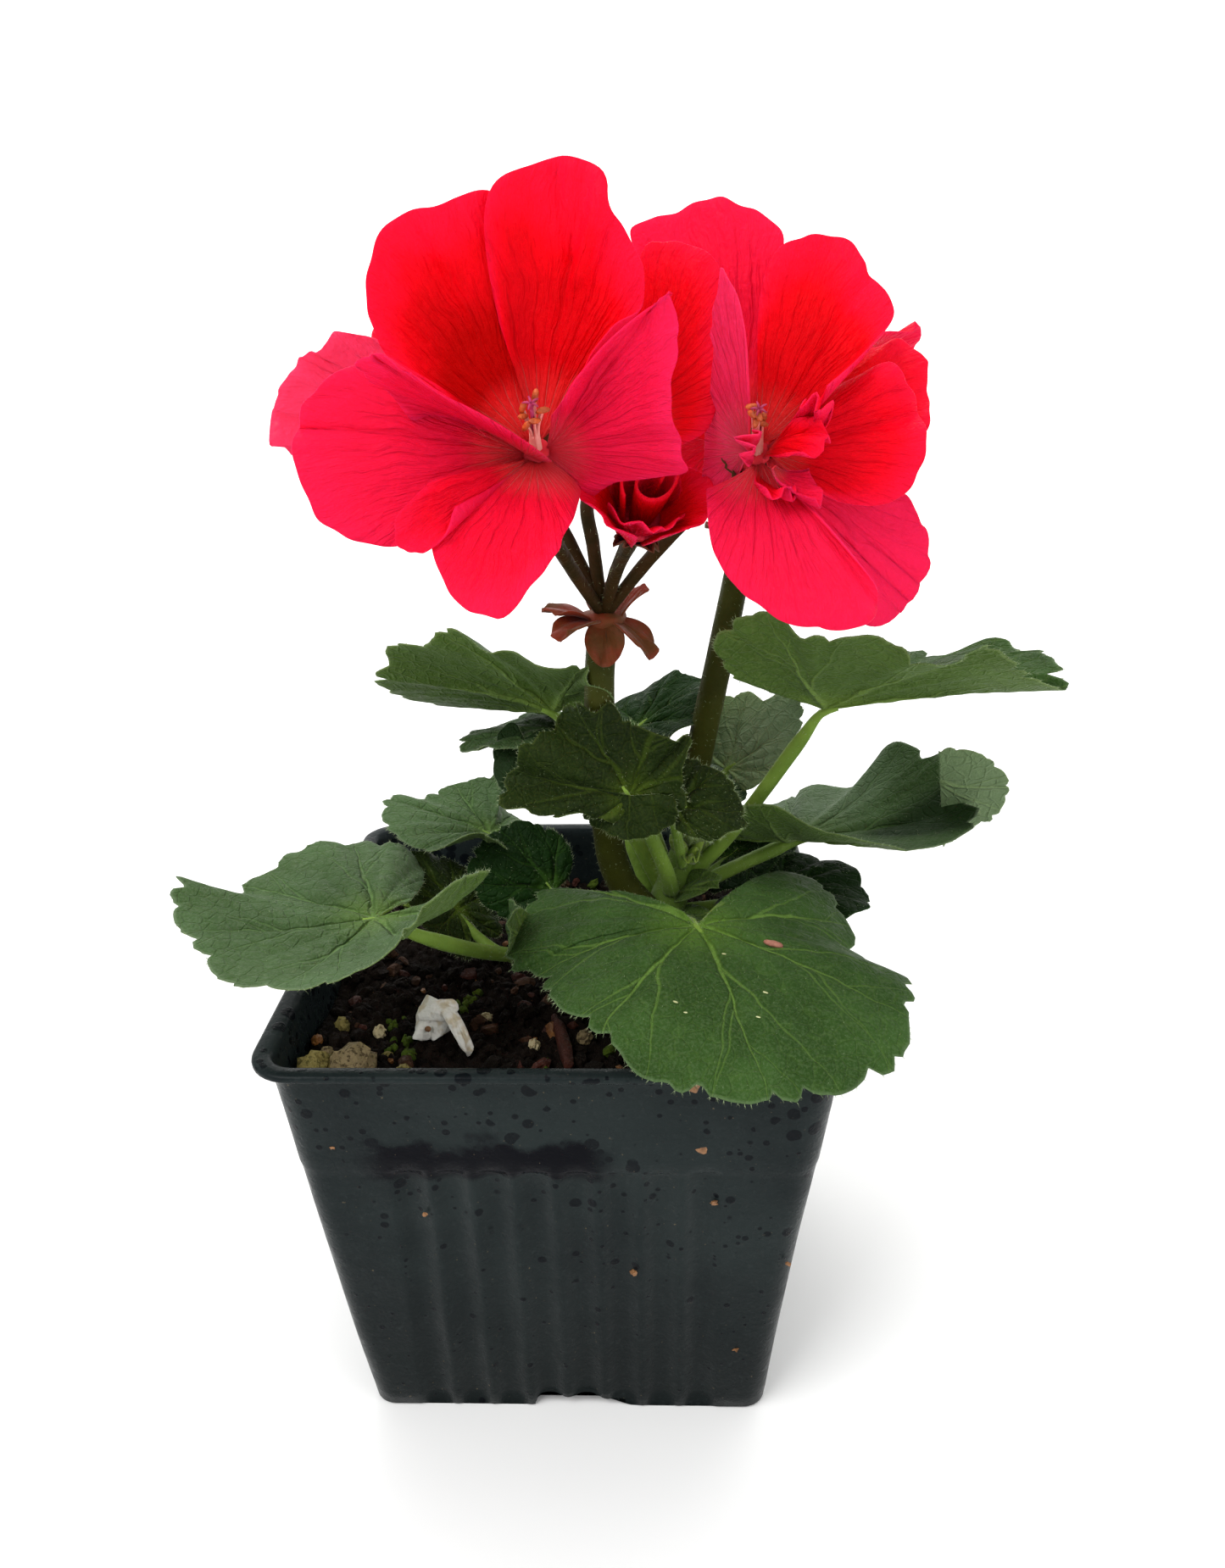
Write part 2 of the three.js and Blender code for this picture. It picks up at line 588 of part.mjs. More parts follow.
function floret({ throat, axis, petals, cells }, grow = 0) {
  const middle = vec(throat);
  const out = vec(axis).normalize();
  const behind = middle.clone().addScaledVector(out, -4);
  const parts = [tube([throat, behind.toArray()], [1.9 + grow, 1.3 + grow], 8, 1)];
  for (const shape of petals) {
    const sideways = vec(shape.tip).sub(middle);
    sideways.addScaledVector(out, -sideways.dot(out)).normalize();
    const root = middle.clone().addScaledVector(sideways, 1.2).toArray();
    parts.push(petal({ cells, claw: 0.16, ...shape, root }, grow));
  }
  return join(parts);
}

// Half-open bud: an inner sheet rolled up in a spiral, with looser petals round it
const budFoot = [15.5, -27, 150];
const budMouth = [15.3, -36, 157.5];
const budTurns = 1.6;
const budPetals = [[205, 6.8, 12], [345, 6.4, 11]]; // turn round the axis, reach of the tip, width

function bud(grow = 0) {
  const foot = vec(budFoot);
  const out = vec(budMouth).sub(foot);
  const height = out.length();
  out.normalize();
  const sideways = new THREE.Vector3(1, 0, 0);
  sideways.addScaledVector(out, -sideways.dot(out)).normalize();
  const upwards = out.clone().cross(sideways);
  const around = (angle, reach, rise) => foot.clone()
    .addScaledVector(sideways, reach * Math.cos(angle))
    .addScaledVector(upwards, reach * Math.sin(angle))
    .addScaledVector(out, rise);
  const roll = (a, b) => {
    const angle = 2 * Math.PI * budTurns * a;
    return around(angle, (1 + 3.4 * a) * (0.45 + 0.55 * b), height * (0.15 + 0.95 * b));
  };
  const sheet = { points: [], triangles: [] };
  const columns = 15;
  for (let column = 0; column <= columns; column += 1) {
    sheet.points.push([column / columns, 0], [column / columns, 1]);
    if (column === columns) break;
    const i = 2 * column;
    sheet.triangles.push([i, i + 2, i + 3], [i, i + 3, i + 1]);
  }
  const parts = [bladeSolid(sheet, roll, petalThickness + 2 * grow)];
  parts.push(tube([around(0, 0, -1).toArray(), around(0, 0, 3.5).toArray()], [1.2 + grow, 3.2 + grow], 7, 1));
  for (const [turn, reach, width] of budPetals) {
    const angle = rad(turn);
    const away = around(angle, 1, 0).sub(foot);
    parts.push(petal({ root: around(angle, 1.6, 0.8).toArray(), tip: around(angle, reach, height).toArray(),
      face: away.negate().toArray(), width, curl: 15, bend: [60, 60], claw: 0.4, cells: [3, 2] }, grow));
  }
  return join(parts);
}

// Calyx behind a floret: one thin star of five sepals round the end of its pedicel.
function calyx(end, out) {
  const forward = vec(out).normalize();
  const sideways = forward.clone().cross(new THREE.Vector3(0, 0.1, 1)).normalize();
  const upwards = forward.clone().cross(sideways);
  const face = (shift) => {
    const middle = vec(end).addScaledVector(forward, shift - 0.8);
    const rim = Array.from({ length: 10 }, (_, i) => {
      const reach = i % 2 ? 2.2 : sepalReach;
      const angle = rad(36 * i + 20);
      return middle.clone()
        .addScaledVector(sideways, reach * Math.cos(angle))
        .addScaledVector(upwards, reach * Math.sin(angle))
        .addScaledVector(forward, i % 2 ? 0.2 : 1);
    });
    return [middle, ...rim];
  };
  const triangles = [];
  for (let i = 1; i <= 10; i += 1) {
    const next = (i % 10) + 1;
    triangles.push(0, i, next, 11, 11 + next, 11 + i, 11 + i, 11 + next, next, 11 + i, next, i);
  }
  return solidOf(geometryOf([...face(petalThickness / 2), ...face(-petalThickness / 2)], triangles));
}

// Flower stalks: the peduncle's route from the stem, and the pedicels by the floret that each carries
const stalks = {
  flower_stalk_front: {
    route: [[14, 0, 80], [9.5, -1, 87], [7.5, -4, 100], [7, -8, 124], [8, -10, 136]],
    radii: [2.7, 2.5, 2.3],
    pedicels: [
      { floret: 'floret_front_left', over: [[5.5, -17, 145], [3.5, -28, 154.5]] },
      { floret: 'floret_left', over: [[3, -12, 147]] },
      { floret: 'floret_middle', over: [[9.5, -12, 148]] },
      { floret: 'floret_front_right', over: [[15, -17, 146], [22, -26, 155]] },
      { end: budFoot, axis: [0, -0.7, 0.7], over: [[11, -15, 143]] },
    ],
  },
  flower_stalk_back: {
    route: [[21.6, 8.6, 84.5], [22, 9.8, 95], [23.8, 9.5, 107], [27, 8, 125], [30.5, 7, 145]],
    radii: [2.5, 2.4, 2.1],
    pedicels: [
      { floret: 'floret_right_back', over: [[33, 3, 153]] },
      { floret: 'floret_back', over: [[31, 12, 152]] },
      { end: [24, 19, 149], axis: [-0.3, 0.5, -0.6], over: [[27, 13, 151]], closed: true },
      { end: [40, 13, 146], axis: [0.4, 0.4, -0.6], over: [[36, 10, 149]], closed: true },
    ],
  },
};

function flowerStalk({ route, radii, pedicels }, grow = 0) {
  const parts = [tube(route, radii.map((r) => r + grow), 7, 7)];
  const fork = route.at(-1);
  for (const pedicel of pedicels) {
    const carried = florets[pedicel.floret];
    const axis = carried ? carried.axis : pedicel.axis;
    const out = vec(axis).normalize();
    const end = carried ? vec(carried.throat).addScaledVector(out, -3.8) : vec(pedicel.end);
    const radius = pedicelRadius + grow;
    parts.push(tube([fork, ...pedicel.over, end.toArray()], [radius, radius, radius * 1.25], 5, 4));
    if (pedicel.closed) parts.push(closedBud(end, out, grow));
    if (grow === 0 && carried) parts.push(calyx(end.toArray(), axis));
  }
  return join(parts);
}

function closedBud(end, out, grow) {
  const foot = end.clone().addScaledVector(out, -0.9);
  const tip = end.clone().addScaledVector(out, 6.5);
  return tube([foot.toArray(), tip.toArray()], [1.5 + grow, 2.3 + grow, 0.6 + grow], 7, 4);
}

// Bracts round the fork of a stalk, by the places of their tips
const bracts = {
  bracts_front: {
    fork: [8, -10, 135.5],
    tips: [[-1, -13, 137.5], [1, -18, 134.5], [8.3, -15.5, 129.5], [15.5, -14, 130.5],
      [14.5, -8, 140], [8, -2, 139]],
  },
  bracts_back: {
    fork: [30.5, 7, 144.5],
    tips: [[24.5, 11, 146], [28, 15.5, 143], [37, 13, 142.5], [38.5, 5, 144]],
  },
};

function bractWhorl({ fork, tips }) {
  const centre = vec(fork);
  const collar = [centre.clone().setZ(fork[2] - 0.8), centre.clone().setZ(fork[2] + 0.8)];
  const parts = [tube(collar.map((p) => p.toArray()), [3.6, 3.6], 8, 1)];
  for (const tip of tips) {
    const away = vec(tip).sub(centre);
    const root = centre.clone().addScaledVector(away.clone().setZ(0).normalize(), 2.2);
    parts.push(petal({ root: root.toArray(), tip, face: [0, 0, 1], width: 4, curl: 25, bend: [25, 25],
      cells: [2, 2], pointed: true }));
  }
  return join(parts);
}

// Stamens and stigma: a short column that spreads into filaments with an anther each
function stamens({ throat, axis }) {
  const foot = vec(throat);
  const out = vec(axis).normalize();
  const side = out.clone().cross(new THREE.Vector3(0, 0, 1)).normalize();
  const up = side.clone().cross(out);
  const start = foot.clone().addScaledVector(out, gap + 0.1);
  const fork = foot.clone().addScaledVector(out, 4.5);
  const draw = draws(11);
  const parts = [tube([start.toArray(), fork.toArray()], [0.7, 0.8], 5, 1)];
  for (let i = 0; i < 3; i += 1) {
    const angle = (2 * Math.PI * i) / 3 + 0.4;
    const away = side.clone().multiplyScalar(Math.cos(angle)).addScaledVector(up, Math.sin(angle));
    const end = fork.clone().addScaledVector(out, 2.6 + (i % 2)).addScaledVector(away, 1.6);
    parts.push(tube([fork.clone().addScaledVector(out, -0.4).toArray(), end.toArray()], [0.4, 0.35], 3, 1));
    parts.push(lump(end.toArray(), [1, 0.8, 0.7], draw, true));
  }
  return join(parts);
}

const group = new THREE.Group();

function addPiece(name, solid, color, roughness) {
  const { vertProperties, triVerts } = solid.getMesh();
  const geometry = new THREE.BufferGeometry();
  geometry.setAttribute('position', new THREE.Float32BufferAttribute(vertProperties, 3));
  geometry.setIndex(Array.from(triVerts));
  geometry.computeVertexNormals();
  const mesh = new THREE.Mesh(geometry, new THREE.MeshStandardMaterial({ color, roughness, metalness: 0 }));
  mesh.name = name;
  group.add(mesh);
}

// Pieces in the order that they are built: a piece is trimmed clear of those before it.
const built = [];

function setPiece(name, build, color, roughness) {
  let solid = build(0);
  const { min, max } = solid.boundingBox();
  for (const other of built) {
    const apart = [0, 1, 2].some((i) => other.min[i] - gap > max[i] || other.max[i] + gap < min[i]);
    if (apart) continue;
    for (const cutter of [other.build(gap), other.solid]) {
      if (solid.intersect(cutter).volume() > 1e-3) solid = mainBody(solid.subtract(cutter));
    }
  }
  built.push({ build, solid, min, max });
  addPiece(name, solid, color, roughness);
}

const stemColor = 0x6f8f4a;
const petalColor = 0xff1932;
setPiece('main_stem', mainStem, stemColor, 0.6);
setPiece('flower_stalk_front', (grow) => flowerStalk(stalks.flower_stalk_front, grow), 0x5a5a34, 0.6);
setPiece('flower_stalk_back', (grow) => flowerStalk(stalks.flower_stalk_back, grow), 0x5e6434, 0.6);
for (const [name, shape] of Object.entries(bracts)) {
  setPiece(name, () => bractWhorl(shape), 0x8c4040, 0.7);
}
setPiece('floret_front_left', (grow) => floret(florets.floret_front_left, grow), petalColor, 0.5);
setPiece('floret_front_right', (grow) => floret(florets.floret_front_right, grow), petalColor, 0.5);
setPiece('bud_half_open', bud, 0xb00818, 0.5);
for (const name of ['floret_middle', 'floret_left', 'floret_right_back', 'floret_back']) {
  setPiece(name, (grow) => floret(florets[name], grow), petalColor, 0.5);
}
for (const name of ['floret_front_left', 'floret_front_right', 'floret_left', 'floret_right_back', 'floret_back']) {
  setPiece(name.replace('floret', 'stamens'), () => stamens(florets[name]), 0xe17828, 0.6);
}
leaves.forEach((shape, i) => {
  const name = `leaf_${String(i + 1).padStart(2, '0')}`;
  setPiece(name, (grow) => leaf(shape, grow), 0x3c643c, 0.6);
});
setPiece('soil', soil, 0x1f1712, 0.95);
setPiece('white_flake', whiteFlake, 0xeeeae0, 0.8);
addPiece('pot', pot(), 0x2a3034, 0.5);

export default group;
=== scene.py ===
import json
import math

import bpy
import numpy as np
from mathutils import Matrix, Vector

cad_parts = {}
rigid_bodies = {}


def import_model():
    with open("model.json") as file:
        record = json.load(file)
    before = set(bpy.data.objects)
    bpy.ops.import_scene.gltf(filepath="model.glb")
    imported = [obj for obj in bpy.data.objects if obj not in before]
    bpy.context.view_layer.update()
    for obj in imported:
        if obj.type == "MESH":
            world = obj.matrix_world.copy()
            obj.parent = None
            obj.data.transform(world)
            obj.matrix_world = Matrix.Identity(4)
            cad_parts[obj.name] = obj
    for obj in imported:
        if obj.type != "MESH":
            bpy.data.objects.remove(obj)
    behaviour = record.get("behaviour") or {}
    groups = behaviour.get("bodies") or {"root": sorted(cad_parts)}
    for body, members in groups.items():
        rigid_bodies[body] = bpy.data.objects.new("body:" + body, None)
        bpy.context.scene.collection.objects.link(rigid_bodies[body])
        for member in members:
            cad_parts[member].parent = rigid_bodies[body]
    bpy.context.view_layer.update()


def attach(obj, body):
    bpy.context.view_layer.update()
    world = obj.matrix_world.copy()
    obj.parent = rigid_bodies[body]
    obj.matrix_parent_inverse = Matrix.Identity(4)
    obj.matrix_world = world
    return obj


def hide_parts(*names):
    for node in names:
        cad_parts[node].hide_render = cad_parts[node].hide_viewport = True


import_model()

# Potted zonal geranium. Shapes are worked out in millimetres; makePiece turns them into metres.
mm = 0.001

# The camera of the photograph, worked out from the pot's rim and foot
photoCamera = {
    "target": (8.54, 0, 104.25),
    "distance": 203,
    "azimuth": 1.93,
    "elevation": 22.17,
    "roll": -1.03,
    "lens": 27.457,  # for a sensor 36 mm high
}


def setCamera(settings):
    azimuth = math.radians(settings["azimuth"])
    elevation = math.radians(settings["elevation"])
    roll = math.radians(settings["roll"])
    away = Vector((math.sin(azimuth) * math.cos(elevation), -math.cos(azimuth) * math.cos(elevation),
                   math.sin(elevation)))
    flatRight = (-away).cross(Vector((0, 0, 1))).normalized()
    flatUp = flatRight.cross(-away)
    right = flatRight * math.cos(roll) + flatUp * math.sin(roll)
    up = flatUp * math.cos(roll) - flatRight * math.sin(roll)
    place = (Vector(settings["target"]) + away * settings["distance"]) * mm
    data = bpy.data.cameras.new("photoCamera")
    data.lens = settings["lens"]
    data.sensor_fit = "VERTICAL"
    data.sensor_height = 36
    data.clip_start = 0.005
    camera = bpy.data.objects.new("photoCamera", data)
    turn = Matrix((right, up, away)).transposed().to_4x4()
    camera.matrix_world = Matrix.Translation(place) @ turn
    bpy.context.scene.collection.objects.link(camera)
    bpy.context.scene.camera = camera


def addLight(name, place, aim, size, power, colour=(1, 1, 1)):
    data = bpy.data.lights.new(name, "AREA")
    data.shape = "RECTANGLE"
    data.size, data.size_y = size
    data.energy = power
    data.color = colour
    light = bpy.data.objects.new(name, data)
    light.location = place
    light.rotation_euler = (Vector(aim) - Vector(place)).to_track_quat("-Z", "Y").to_euler()
    bpy.context.scene.collection.objects.link(light)


def tone(red, green, blue):
    # a screen colour, 0 to 255, as Blender's linear one
    parts = [value / 255 for value in (red, green, blue)]
    return tuple(c / 12.92 if c <= 0.04045 else ((c + 0.055) / 1.055) ** 2.4 for c in parts) + (1,)


# Each value goes to its own input, by a link if it is a socket
def fill(tree, inputs, values):
    for key, value in values.items():
        if isinstance(value, bpy.types.NodeSocket):
            tree.links.new(value, inputs[key])
        else:
            inputs[key].default_value = value


def addNode(tree, kind, sockets=None, **settings):
    made = tree.nodes.new(kind)
    for name, value in settings.items():
        setattr(made, name, value)
    fill(tree, made.inputs, sockets or {})
    return made


def calc(tree, operation, *values):
    return addNode(tree, "ShaderNodeMath", dict(enumerate(values)), operation=operation).outputs[0]


def plus(tree, first, second):
    return calc(tree, "ADD", first, second)


def times(tree, first, second):
    return calc(tree, "MULTIPLY", first, second)


def vectorCalc(tree, operation, sockets):
    return addNode(tree, "ShaderNodeVectorMath", sockets, operation=operation).outputs[0]


def partsOf(tree, vector):
    return addNode(tree, "ShaderNodeSeparateXYZ", {0: vector}).outputs


# Distance from the origin in the plane of the first two parts
def reachOf(tree, parts):
    return calc(tree, "SQRT", plus(tree, times(tree, parts[0], parts[0]), times(tree, parts[1], parts[1])))


def rangeOf(tree, value, low, high, start=0.0, end=1.0):
    sockets = {"Value": value, "From Min": low, "From Max": high, "To Min": start, "To Max": end}
    return addNode(tree, "ShaderNodeMapRange", sockets, interpolation_type="SMOOTHSTEP").outputs[0]


def blendColour(tree, share, first, second):
    return addNode(tree, "ShaderNodeMix", {"Factor": share, 6: first, 7: second}, data_type="RGBA").outputs[2]


def noiseOf(tree, place, scale, detail=3, roughness=0.55):
    sockets = {"Vector": place, "Scale": scale, "Detail": detail, "Roughness": roughness}
    return addNode(tree, "ShaderNodeTexNoise", sockets).outputs["Fac"]


def useGroup(tree, group, sockets):
    return addNode(tree, "ShaderNodeGroup", sockets, node_tree=group).outputs


def newGroup(name, inputs, outputs):
    group = bpy.data.node_groups.new(name, "ShaderNodeTree")
    for label, kind, value in inputs:
        socket = group.interface.new_socket(label, in_out="INPUT", socket_type=kind)
        if value is not None:
            socket.default_value = value
    for label, kind in outputs:
        group.interface.new_socket(label, in_out="OUTPUT", socket_type=kind)
    return group, group.nodes.new("NodeGroupInput").outputs, group.nodes.new("NodeGroupOutput").inputs


floatKind, colourKind, vectorKind = "NodeSocketFloat", "NodeSocketColor", "NodeSocketVector"
veinGap = math.radians(48)  # between two main veins of a leaf


# Soft patches of two colours
def makeMottle():
    group, given, wanted = newGroup("mottle", [
        ("Place", vectorKind, None), ("Scale", floatKind, 200), ("Ground", colourKind, (0.5, 0.5, 0.5, 1)),
        ("Patch", colourKind, (0.2, 0.2, 0.2, 1)), ("Amount", floatKind, 0.5)],
        [("Colour", colourKind), ("Mask", floatKind)])
    broad = noiseOf(group, given["Place"], given["Scale"], 4)
    mask = times(group, rangeOf(group, broad, 0.35, 0.68), given["Amount"])
    fill(group, wanted, {"Mask": mask, "Colour": blendColour(group, mask, given["Ground"], given["Patch"])})
    return group


# A fine irregular grain
def makeGrain():
    group, given, wanted = newGroup("grain", [
        ("Place", vectorKind, None), ("Scale", floatKind, 1500), ("Coarse", floatKind, 0.3)],
        [("Height", floatKind)])
    fine = noiseOf(group, given["Place"], given["Scale"], 2)
    coarse = noiseOf(group, given["Place"], times(group, given["Scale"], given["Coarse"]), 2)
    fill(group, wanted, {"Height": plus(group, fine, times(group, coarse, 1.4))})
    return group


# Palmate veins in a leaf's own flat millimetres: main veins veinGap apart, with forks, and a fine net
def makeLeafVeins():
    group, given, wanted = newGroup("leafVeins", [
        ("Place", vectorKind, None), ("Wobble", floatKind, 1.6), ("Width", floatKind, 0.62)],
        [("Veins", floatKind), ("Net", floatKind), ("Joint", floatKind), ("Height", floatKind)])
    place, half = given["Place"], veinGap / 2
    sway = addNode(group, "ShaderNodeTexNoise", {"Vector": place, "Scale": 0.11, "Detail": 2})
    shift = vectorCalc(group, "SUBTRACT", {0: sway.outputs["Color"], 1: (0.5, 0.5, 0.5)})
    shift = vectorCalc(group, "SCALE", {0: shift, "Scale": times(group, given["Wobble"], 2)})
    moved = vectorCalc(group, "ADD", {0: place, 1: shift})
    parts, size = partsOf(group, moved), partsOf(group, place)[2]
    reach = reachOf(group, parts)
    angle = calc(group, "ARCTAN2", parts[0], parts[1])
    folded = calc(group, "PINGPONG", angle, half)
    side = calc(group, "SIGN", calc(group, "WRAP", angle, half, -half))
    ahead = times(group, reach, calc(group, "COSINE", folded))
    aside = times(group, reach, calc(group, "SINE", folded))
    share = calc(group, "DIVIDE", ahead, size)
    width = times(group, given["Width"], rangeOf(group, share, 0, 1.1, 1.2, 0.3))
    veins = rangeOf(group, calc(group, "DIVIDE", aside, width), 0.3, 1.0, 1, 0)
    for start, degrees, skew in ((0.38, 25, 0.07), (0.64, 31, -0.08)):
        slant = math.radians(degrees)
        fork = times(group, size, plus(group, times(group, side, skew), start))
        along = times(group, calc(group, "SUBTRACT", ahead, fork), math.sin(slant))
        off = calc(group, "ABSOLUTE", calc(group, "SUBTRACT", along, times(group, aside, math.cos(slant))))
        line = rangeOf(group, calc(group, "DIVIDE", off, width), 0.2, 0.8, 0.65, 0)
        veins = calc(group, "MAXIMUM", veins, line)
    veins = times(group, veins, rangeOf(group, share, 0.3, 1.0, 1, 0.4))
    cells = addNode(group, "ShaderNodeTexVoronoi", {"Vector": moved, "Scale": 0.42, "Randomness": 0.9},
                    feature="DISTANCE_TO_EDGE").outputs["Distance"]
    net = rangeOf(group, cells, 0.0, 0.1, 1, 0)
    joint = rangeOf(group, calc(group, "DIVIDE", reach, size), 0.0, 0.35, 1, 0)
    height = plus(group, veins, times(group, net, 0.35))
    fill(group, wanted, {"Veins": veins, "Net": net, "Joint": joint, "Height": height})
    return group


# Veins that fan out from a petal's claw and fork, in the petal's own flat millimetres
def makePetalVeins():
    group, given, wanted = newGroup("petalVeins", [
        ("Place", vectorKind, None), ("Lines", floatKind, 26)],
        [("Veins", floatKind), ("Reach", floatKind), ("Crinkle", floatKind)])
    sway = noiseOf(group, given["Place"], 0.16, 2, 0.5)
    parts = partsOf(group, given["Place"])
    reach = calc(group, "DIVIDE", reachOf(group, parts), parts[2])
    angle = calc(group, "ARCTAN2", parts[0], parts[1])
    swayed = plus(group, angle, times(group, calc(group, "SUBTRACT", sway, 0.5), 0.12))
    veins = 0.0
    for waves, start, strength in ((0.5, 0.0, 1), (1, 0.45, 0.7)):
        wave = calc(group, "SINE", times(group, swayed, times(group, given["Lines"], waves)))
        thin = times(group, rangeOf(group, calc(group, "ABSOLUTE", wave), 0.0, 0.24, 1, 0), strength)
        veins = calc(group, "MAXIMUM", veins, times(group, thin, rangeOf(group, reach, start, start + 0.12)))
    fan = addNode(group, "ShaderNodeCombineXYZ", {0: times(group, swayed, 14), 1: times(group, reach, 3)})
    veins = times(group, veins, rangeOf(group, reach, 0.35, 0.95, 1, 0.12))
    fill(group, wanted, {"Veins": veins, "Reach": reach, "Crinkle": noiseOf(group, fan.outputs[0], 1.6, 3)})
    return group


mottle, grain, leafVeins, petalVeins = makeMottle(), makeGrain(), makeLeafVeins(), makePetalVeins()


finishes = {}  # every material by its name


def newMaterial(name, **constants):
    finishes[name] = bpy.data.materials.new(name)
    finishes[name].use_nodes = True
    tree = finishes[name].node_tree
    shader = tree.nodes["Principled BSDF"]
    fill(tree, shader.inputs, constants)
    return tree, shader


def flatPlace(tree):
    return addNode(tree, "ShaderNodeAttribute", attribute_name="flatPlace").outputs["Vector"]


def ringShare(tree, name="ringShare"):
    return addNode(tree, "ShaderNodeAttribute", attribute_name=name).outputs["Fac"]


def objectPlace(tree):
    return addNode(tree, "ShaderNodeTexCoord").outputs["Object"]


def grainOf(tree, scale):
    return useGroup(tree, grain, {"Place": objectPlace(tree), "Scale": scale})["Height"]


def setSurface(tree, shader, colour, rough, height, distance, strength=0.9):
    bump = addNode(tree, "ShaderNodeBump", {"Strength": strength, "Distance": distance, "Height": height})
    fill(tree, shader.inputs, {"Base Color": colour, "Roughness": rough, "Normal": bump.outputs[0]})


def soft(sheen, specular=0.2):
    return {"Sheen Weight": sheen, "Sheen Roughness": 0.5, "Specular IOR Level": specular}


def leafMaterial(name, ground, patch, vein, joint, silver, netShare=0.07, under=False):
    tree, shader = newMaterial(name, **soft(0.1 if under else 0.03, 0.1),
                               **{"Sheen Tint": tone(200, 225, 190)})
    place = objectPlace(tree)
    lines = useGroup(tree, leafVeins, {"Place": flatPlace(tree)})
    base = useGroup(tree, mottle, {"Place": place, "Scale": 90, "Ground": ground, "Patch": patch,
                                   "Amount": 0.8})["Colour"]
    down = rangeOf(tree, noiseOf(tree, place, 2300, 2, 0.7), 0.42, 0.66, 0, 0.2)
    # The per-point value below paints light into the leaf: above 0 darker patches, painted shade; below 0
    # greyer, paler patches, painted light and sheen
    shade = ringShare(tree, "tint")  # above 0 darker, below 0 greyer and paler
    for share, colour in ((down, silver), (times(tree, lines["Net"], netShare), vein),
                          (times(tree, lines["Veins"], 0.62), vein),
                          (times(tree, lines["Joint"], 0.5), joint),
                          (rangeOf(tree, shade, 0, 1, 0, 0.85), tone(8, 30, 2)),
                          (rangeOf(tree, shade, 0, -1, 0, 0.85), tone(132, 152, 124)),
                          (rangeOf(tree, ringShare(tree), 0.984, 1.0, 0, 0.45), silver)):
        base = blendColour(tree, share, base, colour)
    rough = rangeOf(tree, noiseOf(tree, place, 500), 0.3, 0.7, 0.5, 0.68)
    relief = times(tree, lines["Height"], 1.0 if under else -1.0)
    relief = plus(tree, relief, times(tree, grainOf(tree, 2400), 0.5))
    setSurface(tree, shader, base, rough, relief, 0.0005)


def petalMaterial(name, deep, middle, margin, pink, vein, claw, veinShare, lines):
    tree, shader = newMaterial(name, **soft(0.02, 0.035), **{
        "Sheen Tint": tone(255, 60, 110), "Subsurface Weight": 0.25, "Subsurface Scale": 0.003,
        "Subsurface Radius": (1.0, 0.15, 0.12)})
    fan = useGroup(tree, petalVeins, {"Place": flatPlace(tree), "Lines": lines})
    cloud = noiseOf(tree, objectPlace(tree), 90, 3)
    outward = plus(tree, ringShare(tree), times(tree, calc(tree, "SUBTRACT", cloud, 0.5), 0.45))
    tint = ringShare(tree, "tint")  # above 0 rosier, above 1 paler too, below 0 with a deeper heart
    # Heart: a deeper red in the petal's middle, partly the petal's own colour and partly painted shade; a
    # value below 0 deepens it further, painted shade
    heart = times(tree, rangeOf(tree, outward, 0.1, 0.36), rangeOf(tree, outward, 0.5, 0.88, 1, 0))
    rosy = times(tree, rangeOf(tree, tint, 0, 1), rangeOf(tree, outward, 0.05, 0.5, 0.35, 1))
    pale = times(tree, rangeOf(tree, fan["Reach"], 0.1, 0.34, 1, 0),
                 rangeOf(tree, fan["Veins"], 0.15, 0.7, 0.1, 0.5))
    base = middle
    for share, colour in ((times(tree, heart, rangeOf(tree, tint, 0, -1, 0.25, 1)), deep),
                          (rangeOf(tree, fan["Crinkle"], 0.42, 0.7, 0, 0.15), deep),
                          (rangeOf(tree, outward, 0.72, 1.05), margin), (rosy, pink),
                          (rangeOf(tree, tint, 1, 2, 0, 0.8), tone(242, 66, 106)),
                          (times(tree, fan["Veins"], veinShare), vein), (pale, claw)):
        base = blendColour(tree, share, base, colour)
    relief = plus(tree, times(tree, fan["Crinkle"], 1.5), times(tree, grainOf(tree, 1800), 0.25))
    relief = calc(tree, "SUBTRACT", relief, times(tree, fan["Veins"], 0.4))
    setSurface(tree, shader, base, rangeOf(tree, cloud, 0.3, 0.7, 0.42, 0.6), relief, 0.0006)


def plainMaterial(name, ground, patch, scale, roughness=(0.5, 0.7), grainScale=1500, bump=0.0002,
                  **constants):
    tree, shader = newMaterial(name, **constants)
    place = objectPlace(tree)
    base = useGroup(tree, mottle, {"Place": place, "Scale": scale, "Ground": ground, "Patch": patch,
                                   "Amount": 0.7})
    rough = rangeOf(tree, noiseOf(tree, place, scale * 2), 0.3, 0.7, *roughness)
    setSurface(tree, shader, base["Colour"], rough, grainOf(tree, grainScale), bump, 0.8)


